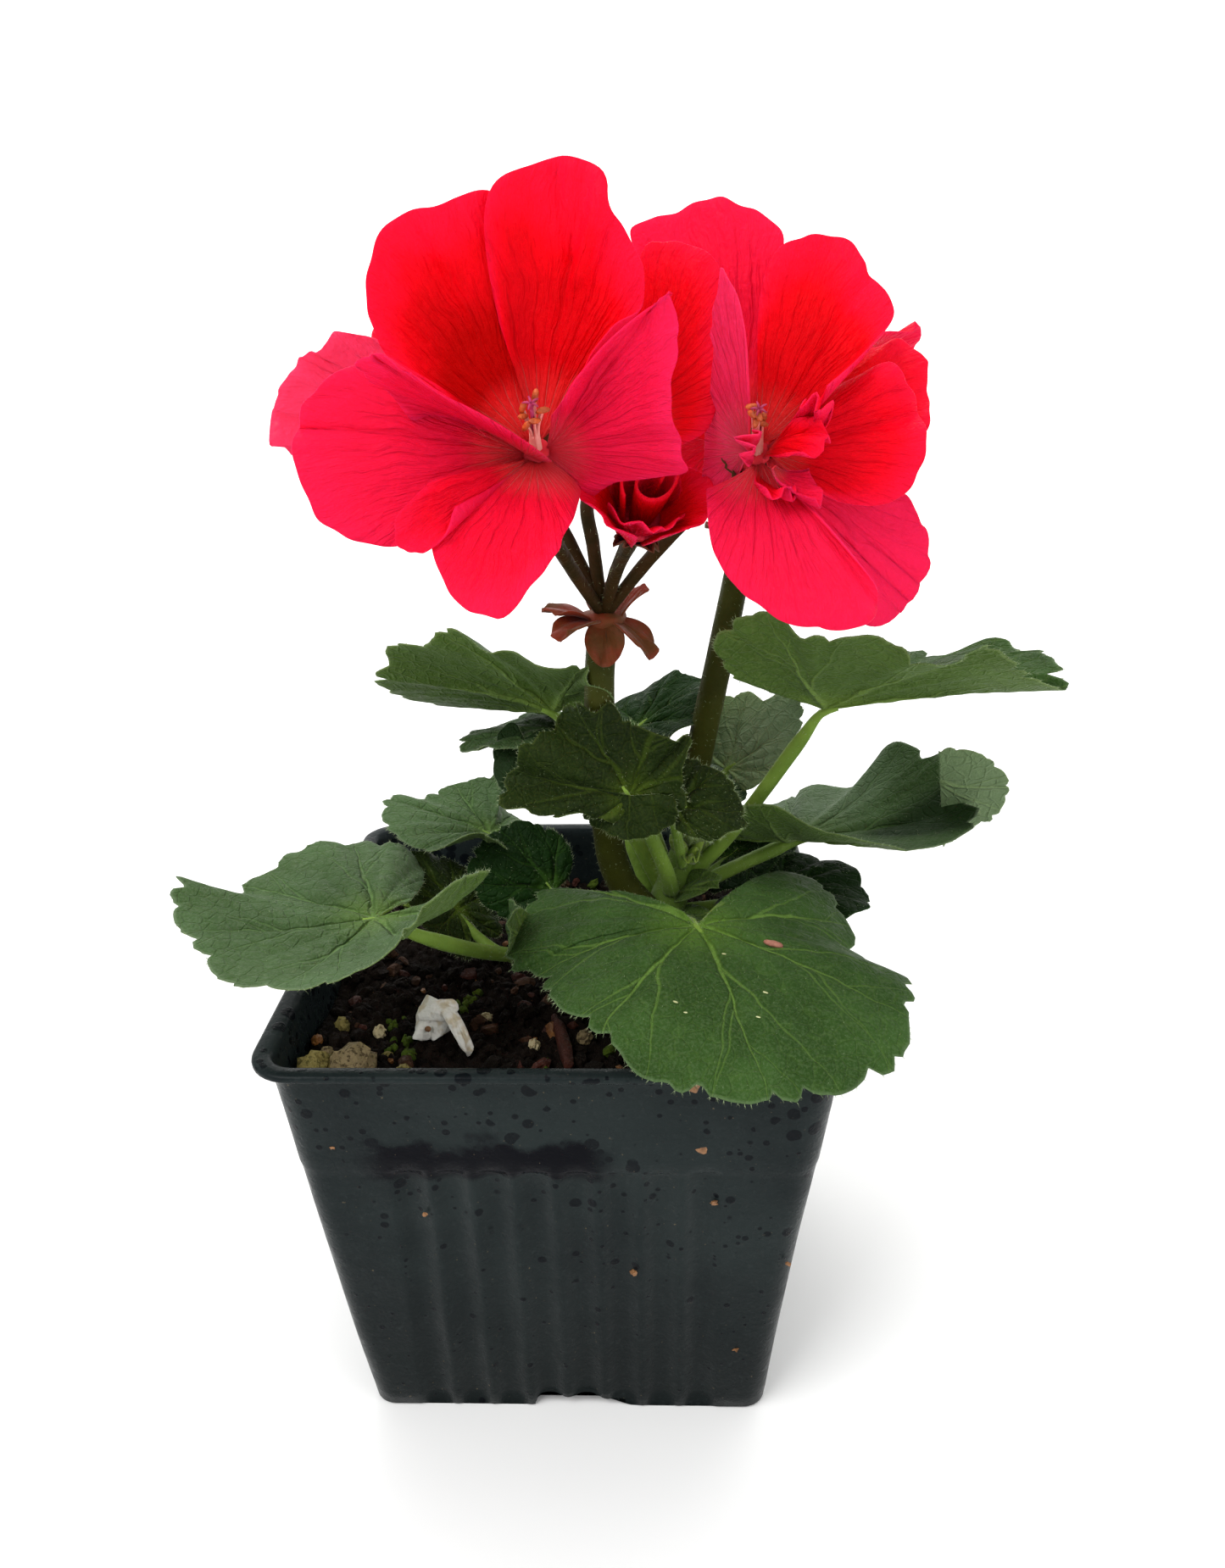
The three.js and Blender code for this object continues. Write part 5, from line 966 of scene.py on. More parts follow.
# Throat, where the floret looks, and its petals by the tips that they reach
florets = {
    "floret_front_left": {
        "throat": (1.6, -42, 164), "axis": (-0.1, -0.84, 0.54), "column": (0.02, -0.74, 0.8), "petals": [
            {"tip": (-13, -44, 186.5), "tint": -0.9, "face": (0.35, -1, 0), "width": 26, "curl": -15,
             "bend": (25, 15),
             "rim": [(-66, 9, 1.5), (-50, 15, 2.6), (-43, 18.7, 2.8), (-41, 24.1, 1.2), (-34, 25.7, 0.6),
                     (-25, 26.5, 0.2), (-12, 27.3, 0), (1, 27.8, -0.1), (13, 28.4, -0.2), (21, 29, -0.2),
                     (34, 31.4, -0.4), (45, 34.6, -0.6), (52, 34.4, -0.7), (57, 27.8, -0.4)]},
            {"tip": (7.5, -42, 194.5), "tint": -0.4, "face": (0, -1, 0.2), "width": 21, "curl": -5,
             "bend": (10, 20),
             "creases": [(-2.9, 29.6, 0.9, 19.7, -0.9, 0.7), (3.2, 27, 1.7, 18.5, 0.9, 0.9)],
             "rim": [(-56, 22.1, -0.4), (-53, 30.6, -0.1), (-50, 35.1, 0), (-45, 36.5, 0.1),
                     (-33, 33.7, 0.1), (-16, 31, 0), (8, 30.4, 0), (18, 30.4, 0), (23, 29, 0.1),
                     (35, 29.6, -0.1), (45, 31.2, -0.5), (51, 32.2, -0.8), (58, 32.1, -0.3),
                     (57, 26.2, 2.8), (56, 19.1, 4.5), (66, 9, 1.5)]},
            {"tip": (19, -52, 171.5), "tint": 0.4, "face": (-0.6, 0.9, -0.2), "width": 23, "curl": 25,
             "bend": (15, 15),
             "rim": [(-88, 16.3, 3.3), (-77, 15.7, 3.2), (-67, 17.3, 2.2), (-57, 19.4, 1), (-48, 21.9, 0),
                     (-31, 19.1, -0.5), (-11, 18.2, -0.9), (10, 20.3, 0), (23, 23, 1.1), (39, 28, 2.6),
                     (41, 24.4, 1.3), (44, 20.6, -0.2), (44, 16.4, -2), (46, 12.6, -3), (60, 7, -1.5)]},
            {"tip": (-15, -56, 173.5), "tint": 0.35, "face": (0, -0.45, 1), "width": 14, "curl": 10,
             "bend": (10, -40),
             "rim": [(-95, 12, 1), (-75, 17, 1.5), (-45, 20, 2.2), (-16, 22.5, 2.6), (-3, 22.9, 2.4),
                     (12, 23.7, 0.9), (35, 23.3, -0.3), (50, 23.3, -1.8), (58, 23.4, -2.9),
                     (65, 23.5, -4.1), (73, 23.5, -4.1), (84, 23.1, -2.3)]},
            {"tip": (-24.5, -51, 164), "tint": 0.6, "face": (0.1, -1, 0.35), "width": 24, "curl": 25,
             "bend": (-10, -10),
             "rim": [(-61, 16.4, 2.4), (-58, 23.4, 1.3), (-53, 27.8, 0.6), (-43, 29.4, 0.3), (-35, 29, 0.2),
                     (-27, 28.3, 0.1), (-12, 27, 0.1), (-1, 27, 0.2), (7, 27, 0.3), (20, 27.6, 0.6),
                     (31, 29.1, 1.2), (42, 29.8, 1.5), (50, 29.1, 1.2), (57, 25.7, 0)]},
            {"tip": (-11, -58, 156), "tint": 0.3, "face": (0.3, -0.8, 0.5), "width": 11, "curl": 15,
             "bend": (-10, 10),
             "rim": [(-14, 14, 1.6), (-11, 19.8, 0.8), (-10, 21, 0.3), (-3, 21.4, 0), (15, 22.1, -0.2),
                     (31, 23.3, -0.3), (42, 22.7, -0.2), (50, 21.6, -0.2)]},
            {"tip": (-1, -63, 148.5), "tint": 0.4, "face": (0.1, -0.75, 0.6), "width": 20, "curl": 20,
             "bend": (-20, -20),
             "rim": [(-100, 17, -4), (-77, 16, -1.9), (-53, 17.1, 0.4), (-38, 18.7, 1.6), (-25, 20.1, 1.9),
                     (-14, 21.8, 1.6), (-7, 23.5, 1), (-2, 24.9, 0.5), (2, 25.4, 0.2), (11, 25.4, 0.1),
                     (20, 25.6, 0.1), (30, 26.2, 0.2), (37, 26.9, 0.4), (46, 27.8, 0.8), (52, 28.2, 1.1),
                     (57, 28.2, 1.2), (63, 27.8, 0.9), (69, 26.4, -0.3), (78, 24.8, -2.3), (95, 21.5, -5)]},
        ]},
    "floret_front_right": {
        "throat": (28, -38, 163), "axis": (0.15, -0.85, 0.5), "column": (-0.04, -0.76, 0.74), "petals": [
            {"root": (27.2, -35, 164), "tip": (22.6, -26, 191.4), "tint": 0.5, "face": (-0.1, -1, 0.15),
             "width": 25, "curl": -5, "bend": (-10, 10),
             "rim": [(-44, 16.6, -1.3), (-43, 28, 0.2), (-42, 35.2, 1.2), (-40, 36.1, 1.2),
                     (-30, 33.2, 0.6), (-16, 30.5, 0.2), (-6, 29.5, 0), (7, 29.1, 0), (17, 29.3, 0),
                     (25, 29.7, 0), (33, 29.9, 0), (39, 29.7, 0), (40, 27.2, -0.1), (42, 22.7, -0.3)]},
            {"tip": (38.5, -31, 185), "tint": -0.4, "face": (-0.2, -1, 0.1), "width": 23, "curl": -5,
             "bend": (15, 35),
             "rim": [(-45, 16.5, -1), (-44, 22.2, -0.4), (-40, 25.6, 0.1), (-36, 26.4, 0.4),
                     (-31, 26.8, 0.5), (-25, 26.7, 0.6), (-20, 26.4, 0.6), (-9, 25.9, 0.5), (-1, 25.6, 0.4),
                     (6, 25.4, 0.3), (12, 24.9, 0.2), (17, 24.4, 0), (25, 25, -0.1), (32, 25.6, -0.2),
                     (42, 26.6, -0.3), (46, 25.2, 0.3), (50, 23.6, 1.5), (55, 21.6, 3.1), (61, 19.9, 5),
                     (67, 18.3, 6.8)]},
            {"tip": (48.5, -30, 173), "face": (-0.3, -1, 0.1), "width": 18, "curl": 10, "bend": (10, 10),
             "rim": [(-41, 16.3, -2.1), (-35, 20.7, -1.1), (-29, 22, -0.6), (-23, 23.2, -0.1),
                     (-15, 23.3, 0), (-8, 23.2, 0.1), (4, 23.1, 0), (14, 23.4, 0.1), (29, 24.5, 0.2),
                     (40, 25.9, 0.3), (50, 27.9, 0.2), (56, 22.4, 0.4)]},
            {"tip": (48, -38, 164.5), "tint": 0.15, "face": (-0.3, -1, 0.2), "width": 22, "curl": 10,
             "bend": (0, 10),
             "rim": [(-60, 10.1, -1.5), (-53, 14.1, -1), (-51, 16.4, -0.6), (-49, 18.3, -0.2),
                     (-48, 19.9, 0.2), (-46, 21.2, 0.6), (-41, 21.1, 0.6), (-35, 20.7, 0.5),
                     (-28, 20.2, 0.4), (-21, 19.6, 0.3), (-8, 19.2, 0.2), (3, 19.2, 0.1), (13, 19.2, 0.1),
                     (21, 19.2, 0.1), (29, 19.5, 0.1), (35, 19.6, 0.1), (41, 19.1, 0.1), (46, 18, 0.2),
                     (50, 16.4, 0.4), (54, 14.5, 0.7), (58, 10.4, 1.1)]},
            {"tip": (48, -33, 146), "tint": 1, "face": (0, -1, 0.3), "width": 19, "curl": 15,
             "rim": [(-47, 19.1, -2.7), (-50, 27.4, 0.8), (-45, 27.7, 1.3), (-39, 27.5, 1.5),
                     (-30, 27.3, 1.4), (-19, 27.3, 1.4), (-10, 27.4, 1.4), (1, 27.5, 1.3), (15, 28.1, 1.4),
                     (29, 29.7, 1.6), (37, 30.1, 1.6), (46, 25.9, 1.2), (56, 18.9, 1.4)]},
            {"tip": (38.5, -53, 147), "tint": 0.6, "face": (-0.1, -0.8, 0.6), "width": 21, "curl": 30,
             "bend": (-20, -10),
             "rim": [(-20, 16, 1.2), (-21, 22.9, 0.5), (-20, 23.8, 0.3), (-17, 24.5, 0.2), (-11, 25, 0.1),
                     (-4, 25.1, -0.1), (6, 25.1, -0.2), (15, 25.2, -0.3), (25, 25.4, -0.5),
                     (34, 25.9, -0.6), (43, 26.4, -0.7), (51, 26.9, -0.7), (58, 26.9, -0.7),
                     (65, 26.4, -0.5), (70, 25.3, -0.2), (74, 23.2, 0.3), (79, 20, 1), (86, 16.7, 1.6)]},
            {"root": (27, -39, 163.5), "tip": (22, -46, 184.5), "face": (0.8, 0.55, 0.1), "width": 18,
             "curl": 10, "tint": 1.35,
             "rim": [(-29, 11.4, -0.4), (-23, 15.1, 0.2), (-12, 18, 0.6), (-6, 19.7, 0.6), (1, 21.4, 0.8),
                     (7, 19.1, 0.4), (30, 16.6, 0.5), (53, 16.2, 0.4), (70, 16.7, -0.1), (85, 17.7, -0.9),
                     (97, 18.5, -1.5), (107, 19.3, -2.2), (113, 18, -0.8), (121, 14.5, -0.5)]},
            {"tip": (35.5, -46, 165), "face": (-0.3, -0.5, 0.8), "width": 5.5, "curl": 60,
             "bend": (50, -30), "wavy": 1.2},
            {"tip": (33.5, -46.5, 169.5), "face": (0.9, -0.3, 0.4), "width": 4.5, "curl": 80,
             "bend": (60, 40), "twist": 50, "wavy": 1.5},
            {"root": (29.5, -44, 162), "tip": (35, -46, 158.5), "tint": 0.5, "face": (0.3, -0.5, 1),
             "width": 7, "curl": -60, "bend": (75, 75), "round": 0.6},
            {"tip": (31, -47.5, 159.5), "face": (0, 0.2, 1), "width": 5, "curl": -70, "bend": (50, 40),
             "wavy": 0.9},
            {"tip": (26, -46, 165.5), "tint": 1.3, "face": (0.5, -0.8, 0.2), "width": 4.5, "curl": 30,
             "bend": (20, 60), "wavy": 1.4},
        ]},
    "floret_middle": {
        "throat": (14, -18, 165), "axis": (0.1, -0.6, 0.8), "petals": [
            {"tip": (11.8, -36.5, 166), "face": (0, 0.1, 1), "width": 7, "curl": 10},
            {"root": (11.8, -36, 165.9), "tip": (18.6, -32.5, 186.5), "face": (0, -1, 0.2), "width": 20,
             "curl": 6,
             "rim": [(-34, 12, -0.5), (-28, 17.8, -0.2), (-26, 20.1, -0.1), (-20, 22.3, 0.1), (-7, 22, 0),
                     (5, 22.3, 0), (14, 22.8, 0), (22, 23.5, 0.1), (29, 24.1, 0.1), (42, 22.7, 0),
                     (59, 22.4, 0), (75, 22.9, 0), (82, 22, 0.1), (87, 18, 0.1), (95, 11.6, 0.1)]},
            {"tip": (23, -26, 173), "face": (-0.3, -1, 0.2), "width": 16, "curl": 10},
            {"tip": (4, -20, 181), "face": (0.3, -0.8, 0.4), "width": 18, "curl": 20},
            {"tip": (12, 0, 180), "face": (0, -0.5, 0.9), "width": 20, "curl": 30},
        ]},
    "floret_left": {
        "throat": (-9, -17, 163), "axis": (-0.55, -0.45, 0.6), "petals": [
            {"tip": (-31, -27, 171.5), "tint": 1.7, "face": (0.3, -0.9, 0.4), "width": 17, "curl": 15,
             "rim": [(-44, 32, -3.7), (-36, 32.2, -3.4), (-27, 29.8, -2.2), (-16, 27.6, -1.1),
                     (4, 25.7, -0.2), (24, 26.6, 0.6), (35, 27.6, 1.4), (44, 28.6, 2.1), (52, 28.8, 2.5),
                     (56, 28.2, 2.4)]},
            {"tip": (-20, -12, 180), "face": (0.4, -0.7, 0.6), "width": 18, "curl": 20},
            {"tip": (-29, -22, 160), "tint": 1.4, "face": (0, -0.7, 0.6), "width": 17, "curl": 20},
            {"tip": (-16, 2, 175), "face": (0, -0.4, 0.9), "width": 18, "curl": 35},
        ]},
    "floret_right_back": {
        "throat": (37, -8, 165), "axis": (0.45, 0.3, 0.75), "petals": [
            {"tip": (36, -8, 187.5), "face": (0.3, 0.9, 0.3), "width": 16, "curl": 20},
            {"tip": (52, -12, 176), "face": (-0.3, 0.3, 0.9), "width": 17, "curl": 25},
            {"tip": (53, -4, 160), "face": (0.7, 0.1, 0.8), "width": 17, "curl": 25},
            {"tip": (46, 11, 166), "face": (0.2, 0.3, 1), "width": 18, "curl": 25},
            {"tip": (30, 10, 178), "face": (0.2, 0.2, 0.9), "width": 18, "curl": 25},
        ]},
    "floret_back": {
        "throat": (30, 20, 160), "axis": (0.25, 0.85, 0.45), "petals": [
            {"tip": (27, 18, 183), "face": (0, 1, 0.2), "width": 18, "curl": 20},
            {"tip": (49, 17, 170), "face": (0.2, 1, 0.2), "width": 18, "curl": 25},
            {"tip": (41, 29, 146), "face": (0.2, 1, 0.3), "width": 18, "curl": 25},
            {"tip": (17, 29, 150), "face": (-0.2, 1, 0.3), "width": 18, "curl": 25},
            {"tip": (12, 16, 174), "face": (-0.1, 1, 0.2), "width": 17, "curl": 25},
        ]},
}


def petalOutline(length, half, shape, spokes, draw):
    if "rim" in shape:
        dense = rimCurve(shape["rim"], 200) * (half / length, 1, 1)
    elif shape.get("pointed"):
        t = np.linspace(0, 1, 24)
        spread = np.sin(np.pi * (0.12 + 0.86 * t)) ** 0.7
        left = np.stack([-half * spread, length * t], -1)
        dense = np.vstack([left, (left * (-1, 1))[::-1]])
    else:
        claw, blunt = shape.get("claw", 0.16), shape.get("round", 0.38)
        t = np.linspace(0, 0.8, 20)
        spread = claw + (1 - claw) * np.sin(np.pi / 2 * np.minimum(1, 1.25 * t)) ** 1.2
        left = np.stack([-half * spread, length * t * (1 - blunt * t * t)], -1)
        j = np.linspace(-1, 1, 31)[1:-1]
        top = np.stack([half * j, length * (1 - blunt * np.abs(j) ** 2.2)], -1)
        dense = np.vstack([left, top, (left * (-1, 1))[::-1]])
    if dense.shape[1] == 2:
        dense = np.column_stack([dense, np.zeros(len(dense))])
    even = evenly(dense, spokes)
    turn = np.linspace(0, 1, spokes)
    uneven = 0.006 * np.sin(31 * turn + draw.uniform(0, 6)) + 0.004 * np.sin(67 * turn + draw.uniform(0, 6))
    uneven = uneven * np.sin(np.pi * turn)
    even[:, :2] *= (1 + uneven)[:, None]
    return even


def ruffles(shape, draw):
    wavy, waves, phase = shape.get("wavy", 0.5), shape.get("waves", 2.3), draw.uniform(0, 6)
    creases = shape.get("creases", ())
    folds = [(draw.uniform(-0.75, 0.75), draw.uniform(-0.7, 0.7), draw.uniform(0.06, 0.16))
             for _ in range(shape.get("folds", 7))]

    def wave(a, b, half, length):
        x, y = a / half, b / length
        turn = np.arctan2(x, y)
        lift = wavy * y * y * np.sin(waves * np.pi * x + phase)
        lift = lift + 0.25 * wavy * np.abs(y) ** 3 * np.sin(7 * np.pi * x + 3 * y + phase)
        for angle, height, spread in folds:
            lift = lift + height * np.clip(y, 0, 1.2) ** 1.3 * np.exp(-((turn - angle) / spread) ** 2)
        for fromA, fromB, toA, toB, height, width in creases:
            run = np.array([toA - fromA, toB - fromB], float)
            reach = np.linalg.norm(run)
            run = run / reach
            along = np.clip((a - fromA) * run[0] + (b - fromB) * run[1], 0, reach)
            off = np.hypot(a - fromA - along * run[0], b - fromB - along * run[1])
            lift = lift + height * np.exp(-(off / width) ** 2)
        return lift
    return wave


def petalPart(shape, draw, spokes=64, rings=18, thickness=0.35, slots=(0, 1)):
    place, length, half = bladePlace(shape, ruffles(shape, draw))
    outline = petalOutline(length, half, shape, spokes, draw)

    def flat(a, b):
        return np.stack([a, b, np.full(len(a), length)], -1)

    sheet = fanSheet(place, outline, rings, thickness, flat, slots=slots)
    sheet["tint"] += shape.get("tint", 0)
    return sheet


def makeFloret(node, shape):
    draw = np.random.default_rng(sum(map(ord, node)))
    throat = np.array(shape["throat"], float)
    out = unit(shape["axis"])
    parts = [tubePart([throat + out * 0.3, throat - out * 4], [1.7, 1.5, 1.3], 12, 6, 1)]
    for petal in shape["petals"]:
        sideways = np.array(petal["tip"], float) - throat
        sideways = unit(sideways - out * sideways.dot(out))
        spokes, rings = (96, 26) if "front" in node and petal["width"] > 8 else (64, 18)
        parts.append(petalPart({"root": throat + sideways * 1.2, **petal}, draw, spokes, rings))
    makePiece(camelName(node), parts, ["petalFace", "petalBack"], [node])


# Seven filaments from a short column, a two-lobed anther on each, and the forked stigma
def makeStamens(node, shape):
    draw = np.random.default_rng(len(node))
    foot, out = np.array(shape["throat"], float), unit(shape.get("column", shape["axis"]))
    side = unit(np.cross(out, (0, 0, 1)))
    up = np.cross(side, out)
    fork = foot + out * 3.2
    parts = [tubePart([foot + out * 0.4, fork], [0.75, 0.7, 0.6], 10, 4)]
    for i in range(7):
        away = aroundAxis(side, up, 2 * math.pi * (i + draw.uniform(-0.4, 0.4)) / 7)
        end = fork + out * draw.uniform(2.0, 4.8) + away * draw.uniform(0.5, 1.6)
        parts.append(tubePart([foot + away * 0.5, fork + out * 0.8 + away * 0.5, end],
                              [0.34, 0.24, 0.14], 6, 8))
        parts.append(lumpPart(end, (0.46, 0.36, 0.85), draw.normal(0, 1, 3), draw, 0.06, 7, 10, 1, 2))
    style = fork + out * 4.2
    parts.append(tubePart([fork - out * 0.4, style], [0.3, 0.25], 6, 3, 2))
    for i in range(5):
        away = aroundAxis(side, up, 2 * math.pi * i / 5)
        parts.append(tubePart([style - out * 0.2, style + out * 0.8 + away * 0.4, style + out * 0.7 + away],
                              [0.22, 0.18, 0.1], 6, 6, 2))
    stamens = node.replace("floret", "stamens")
    makePiece(camelName(stamens), parts, ["filament", "anther", "stigma"], [stamens])


budShape = {"foot": (12.8, -28.2, 151.8), "mouth": (15.3, -36.5, 159.3), "turns": 1.6,
            "petals": [(195, 9, 14), (350, 8.4, 13), (270, 6.6, 12), (90, 6, 11)]}


def makeBud(shape):
    draw = np.random.default_rng(5)
    foot = np.array(shape["foot"], float)
    out = np.array(shape["mouth"], float) - foot
    height = np.linalg.norm(out)
    out = out / height
    side = np.array([1.0, 0, 0])
    side = unit(side - out * side.dot(out))
    up = np.cross(out, side)

    def around(angle, reach, rise):
        angle, reach, rise = (np.asarray(v, float)[..., None] for v in (angle, reach, rise))
        return foot + side * reach * np.cos(angle) + up * reach * np.sin(angle) + out * rise

    columns, rows = 110, 14
    a, b = np.meshgrid(np.linspace(0, 1, columns), np.linspace(0, 1, rows), indexing="ij")
    flare = 0.35 * b ** 3 * np.sin(19 * a)
    centre = around(2 * np.pi * shape["turns"] * a, (1 + 3.4 * a) * (0.45 + 0.55 * b) + flare,
                    height * (0.15 + 0.95 * b) + 0.4 * b * np.sin(11 * a))
    normal = unit(np.cross(np.gradient(centre, axis=0), np.gradient(centre, axis=1)))
    points = np.concatenate([(centre + normal * offset).reshape(-1, 3) for offset in (0.18, -0.18)])
    quads, loop = gridFaces(columns, rows)
    after = np.roll(loop, -1)
    count = columns * rows
    rim = np.stack([loop + count, after + count, after, loop], -1)
    flat = np.stack([(a - 0.5).ravel() * 20, b.ravel() * height, np.full(count, height)], -1)
    sheet = newPart(points, [(quads, 0), (quads[:, ::-1] + count, 1), (rim, 0)], np.concatenate([flat, flat]),
                    np.tile(b.ravel() * 0.9, 2))
    parts = [sheet, tubePart([around(0, 0, -1.2), around(0, 0, 3.5)], [1.1, 1.7, 2.6, 3.1], 16, 8, 1)]
    for turn, reach, width in shape["petals"]:
        angle = math.radians(turn)
        away = around(angle, 1, 0) - foot
        parts.append(petalPart({"root": around(angle, 1.6, 0.8), "tip": around(angle, reach, height),
                                "face": -away, "width": width, "curl": 15, "bend": (60, 60), "claw": 0.4},
                               draw, slots=(3, 1)))
    for i in range(5):
        angle = 2 * math.pi * i / 5 + 0.3
        away = around(angle, 1, 0) - foot
        parts.append(petalPart({"root": around(angle, 1.4, -0.6), "tip": around(angle, 4.6, 2.6),
                                "face": -away, "width": 2.6, "curl": 20, "bend": (30, 30), "pointed": True},
                               draw, 32, 10, 0.35, (2, 2)))
    makePiece("budHalfOpen", parts, ["budRed", "petalBack", "sepal", "petalFace"], ["bud_half_open"])


stalks = {
    "flower_stalk_front": {
        "route": [(14, 0, 80), (9.5, -1, 87), (7.5, -4, 100), (7, -8, 124), (8, -10, 136)],
        "radii": [2.7, 2.6, 2.5, 2.4, 2.3], "pedicels": [
            {"floret": "floret_front_left", "over": [(4.2, -17, 144), (1.5, -28, 153)]},
            {"floret": "floret_left", "over": [(4.4, -12, 145), (1, -14, 152)]},
            {"floret": "floret_middle", "over": [(6.8, -13, 147), (6.5, -16, 155)]},
            {"floret": "floret_front_right", "over": [(15, -17, 146), (22, -26, 155)], "sepals": 3.6},
            {"end": (12.6, -28, 151), "axis": (0, -0.7, 0.7), "over": [(10, -16, 143.5)]},
        ]},
    "flower_stalk_back": {
        "route": [(21.6, 8.6, 84.5), (22, 9.8, 95), (23.8, 9.5, 107), (27, 8, 125), (30.5, 7, 145)],
        "radii": [2.5, 2.45, 2.4, 2.25, 2.1], "pedicels": [
            {"floret": "floret_right_back", "over": [(33, 3, 153)]},
            {"floret": "floret_back", "over": [(31, 12, 152)]},
            {"end": (24, 19, 149), "axis": (-0.3, 0.5, -0.6), "over": [(27, 13, 151)], "closed": True},
            {"end": (40, 13, 146), "axis": (0.4, 0.4, -0.6), "over": [(36, 10, 149)], "closed": True},
        ]},
}


def calyxParts(end, out, draw, long):
    side, up, forward = frameOf(out)
    parts = []
    for i in range(5):
        away = aroundAxis(side, up, 2 * math.pi * i / 5 + 0.35)
        tip = end + away * draw.uniform(long - 0.4, long + 0.4) + forward * draw.uniform(0, 1.2)
        parts.append(petalPart({"root": end + away * 0.9 - forward * 0.9, "tip": tip, "face": forward,
                                "width": 3, "curl": 18, "bend": (25, 25), "pointed": True, "wavy": 0.2},
                               draw, 28, 9, 0.35, (2, 2)))
    parts.append(tubePart([end - forward * 2.4, end], [1.1, 1.5, 1.9], 12, 6, 1))
    return parts


def closedBudParts(end, out, draw):
    side, up = frameOf(out)[:2]
    parts = [tubePart([end - out * 0.9, end + out * 2.5, end + out * 6.5], [1.3, 1.9, 2.2, 2.1, 1.5, 0.5],
                      14, 14, 2, 0.06)]
    for i in range(5):
        away = aroundAxis(side, up, 2 * math.pi * i / 5)
        parts.append(petalPart({"root": end + away * 1.5, "tip": end + away * 1.2 + out * 7, "face": -away,
                                "width": 2.6, "curl": 22, "bend": (30, 30), "pointed": True, "wavy": 0.2},
                               draw, 32, 10, 0.3, (2, 2)))
    return parts


def makeStalk(node, shape):
    draw = np.random.default_rng(len(node))
    stalk = tubePart(shape["route"], shape["radii"], 18, 60, 0, 0.02, 0.02, 3)
    fork = np.array(shape["route"][-1], float)
    parts, skins = [stalk], [(stalk["skin"], 400)]
    for pedicel in shape["pedicels"]:
        carried = florets.get(pedicel.get("floret"))
        axis = unit((carried or pedicel)["axis"])
        end = np.array(carried["throat"], float) - axis * 3.8 if carried else np.array(pedicel["end"], float)
        tube = tubePart([fork, *pedicel["over"], end], [0.95, 1, 1, 1.05, 1.25], 12, 30, 1, 0.03, 0.04, 5)
        parts.append(tube)
        skins.append((tube["skin"], 70))
        if pedicel.get("closed"):
            parts += closedBudParts(end, axis, draw)
        elif carried:
            parts += calyxParts(end, axis, draw, pedicel.get("sepals", 6.2))
    for skin, count in skins:
        growHairs(stemHairs, skin, count, 0.6, draw)
    makePiece(camelName(node), parts, ["stalkOlive", "pedicelBrown", "sepal"], [node])


bracts = {
    "bracts_front": {"fork": (8, -10, 135.5), "tips": [(-1, -13, 137.5), (1, -18, 134.5), (8.3, -15.5, 129.5),
                                                       (15.5, -14, 130.5), (14.5, -8, 140), (8, -2, 139)]},
    "bracts_back": {"fork": (30.5, 7, 144.5), "tips": [(24.5, 11, 146), (28, 15.5, 143), (37, 13, 142.5),
                                                       (38.5, 5, 144)]},
}


def makeBracts(node, shape):
    draw = np.random.default_rng(len(node) + 40)
    centre = np.array(shape["fork"], float)
    parts = [tubePart([centre - (0, 0, 0.8), centre + (0, 0, 0.8)], [3.1, 3.5, 3.3], 20, 6, 0, 0.05)]
    for tip in shape["tips"]:
        away = np.array(tip, float) - centre
        root = centre + unit(away * (1, 1, 0)) * 2.2
        parts.append(petalPart({"root": root, "tip": tip, "face": (0, 0, 1), "width": 6.2, "curl": 30,
                                "bend": (30, 30), "pointed": True, "wavy": 0.5, "folds": 3},
                               draw, 56, 16, 0.4, (0, 0)))
    makePiece(camelName(node), parts, ["bract"], [node])


stemShape = {"route": [(15, 1, 56), (16, 2, 70), (18, 3, 80), (21, 4, 90)], "radii": [4.2, 4, 3.6, 2.4],
             "young": [((21, 2, 90), (24, -4, 96), (0, 0.6, 0.8)),
                       ((20.5, 2, 90), (18.5, -3.5, 99), (0.3, 0.7, 0.5)),
                       ((22, 3, 90), (27, -1, 95), (-0.4, 0.5, 0.8)),
                       ((21, 1.5, 89), (22, -5, 92), (0, 0.5, 0.8))],
             "stipules": [((19, 2.5, 82), (27, -4, 88), (0, -0.6, 0.8)),
                          ((18, 2.5, 77.5), (26.5, -5, 79.5), (0, -0.4, 0.9))]}


def makeStem(shape):
    draw = np.random.default_rng(21)
    trunk = tubePart(shape["route"], shape["radii"], 24, 60, 0, 0.02, 0.03, 8)
    parts = [trunk]
    for i in range(6):
        angle = 2 * math.pi * i / 6
        centre = (21.3 + 1.9 * math.cos(angle), 0.4 + 1.9 * math.sin(angle), 91 + draw.uniform(0, 2.5))
        lean = (math.cos(angle) * 0.4, math.sin(angle) * 0.4, 1)
        parts.append(lumpPart(centre, (1.2, 1.0, 2.0), lean, draw, 0.12, 8, 10, 2, 3))
    for root, tip, face in shape["young"]:
        young = petalPart({"root": root, "tip": tip, "face": face, "width": 4.4, "curl": 45,
                           "bend": (70, 70), "claw": 0.4, "wavy": 0.5}, draw, 48, 12, 0.5, (2, 2))
        parts.append(young)
        growHairs(stemHairs, {key: values[::3] for key, values in young["bottom"].items()}, None, 0.7, draw)
    for root, tip, face in shape["stipules"]:
        parts.append(petalPart({"root": root, "tip": tip, "face": face, "width": 6, "curl": 30,
                                "bend": (20, 20), "pointed": True, "wavy": 0.3}, draw, 48, 16, 0.4, (1, 1)))
    growHairs(stemHairs, trunk["skin"], 500, 0.7, draw)
    makePiece("mainStem", parts, ["stemGreen", "leafUnder", "budGreen"], ["main_stem"])


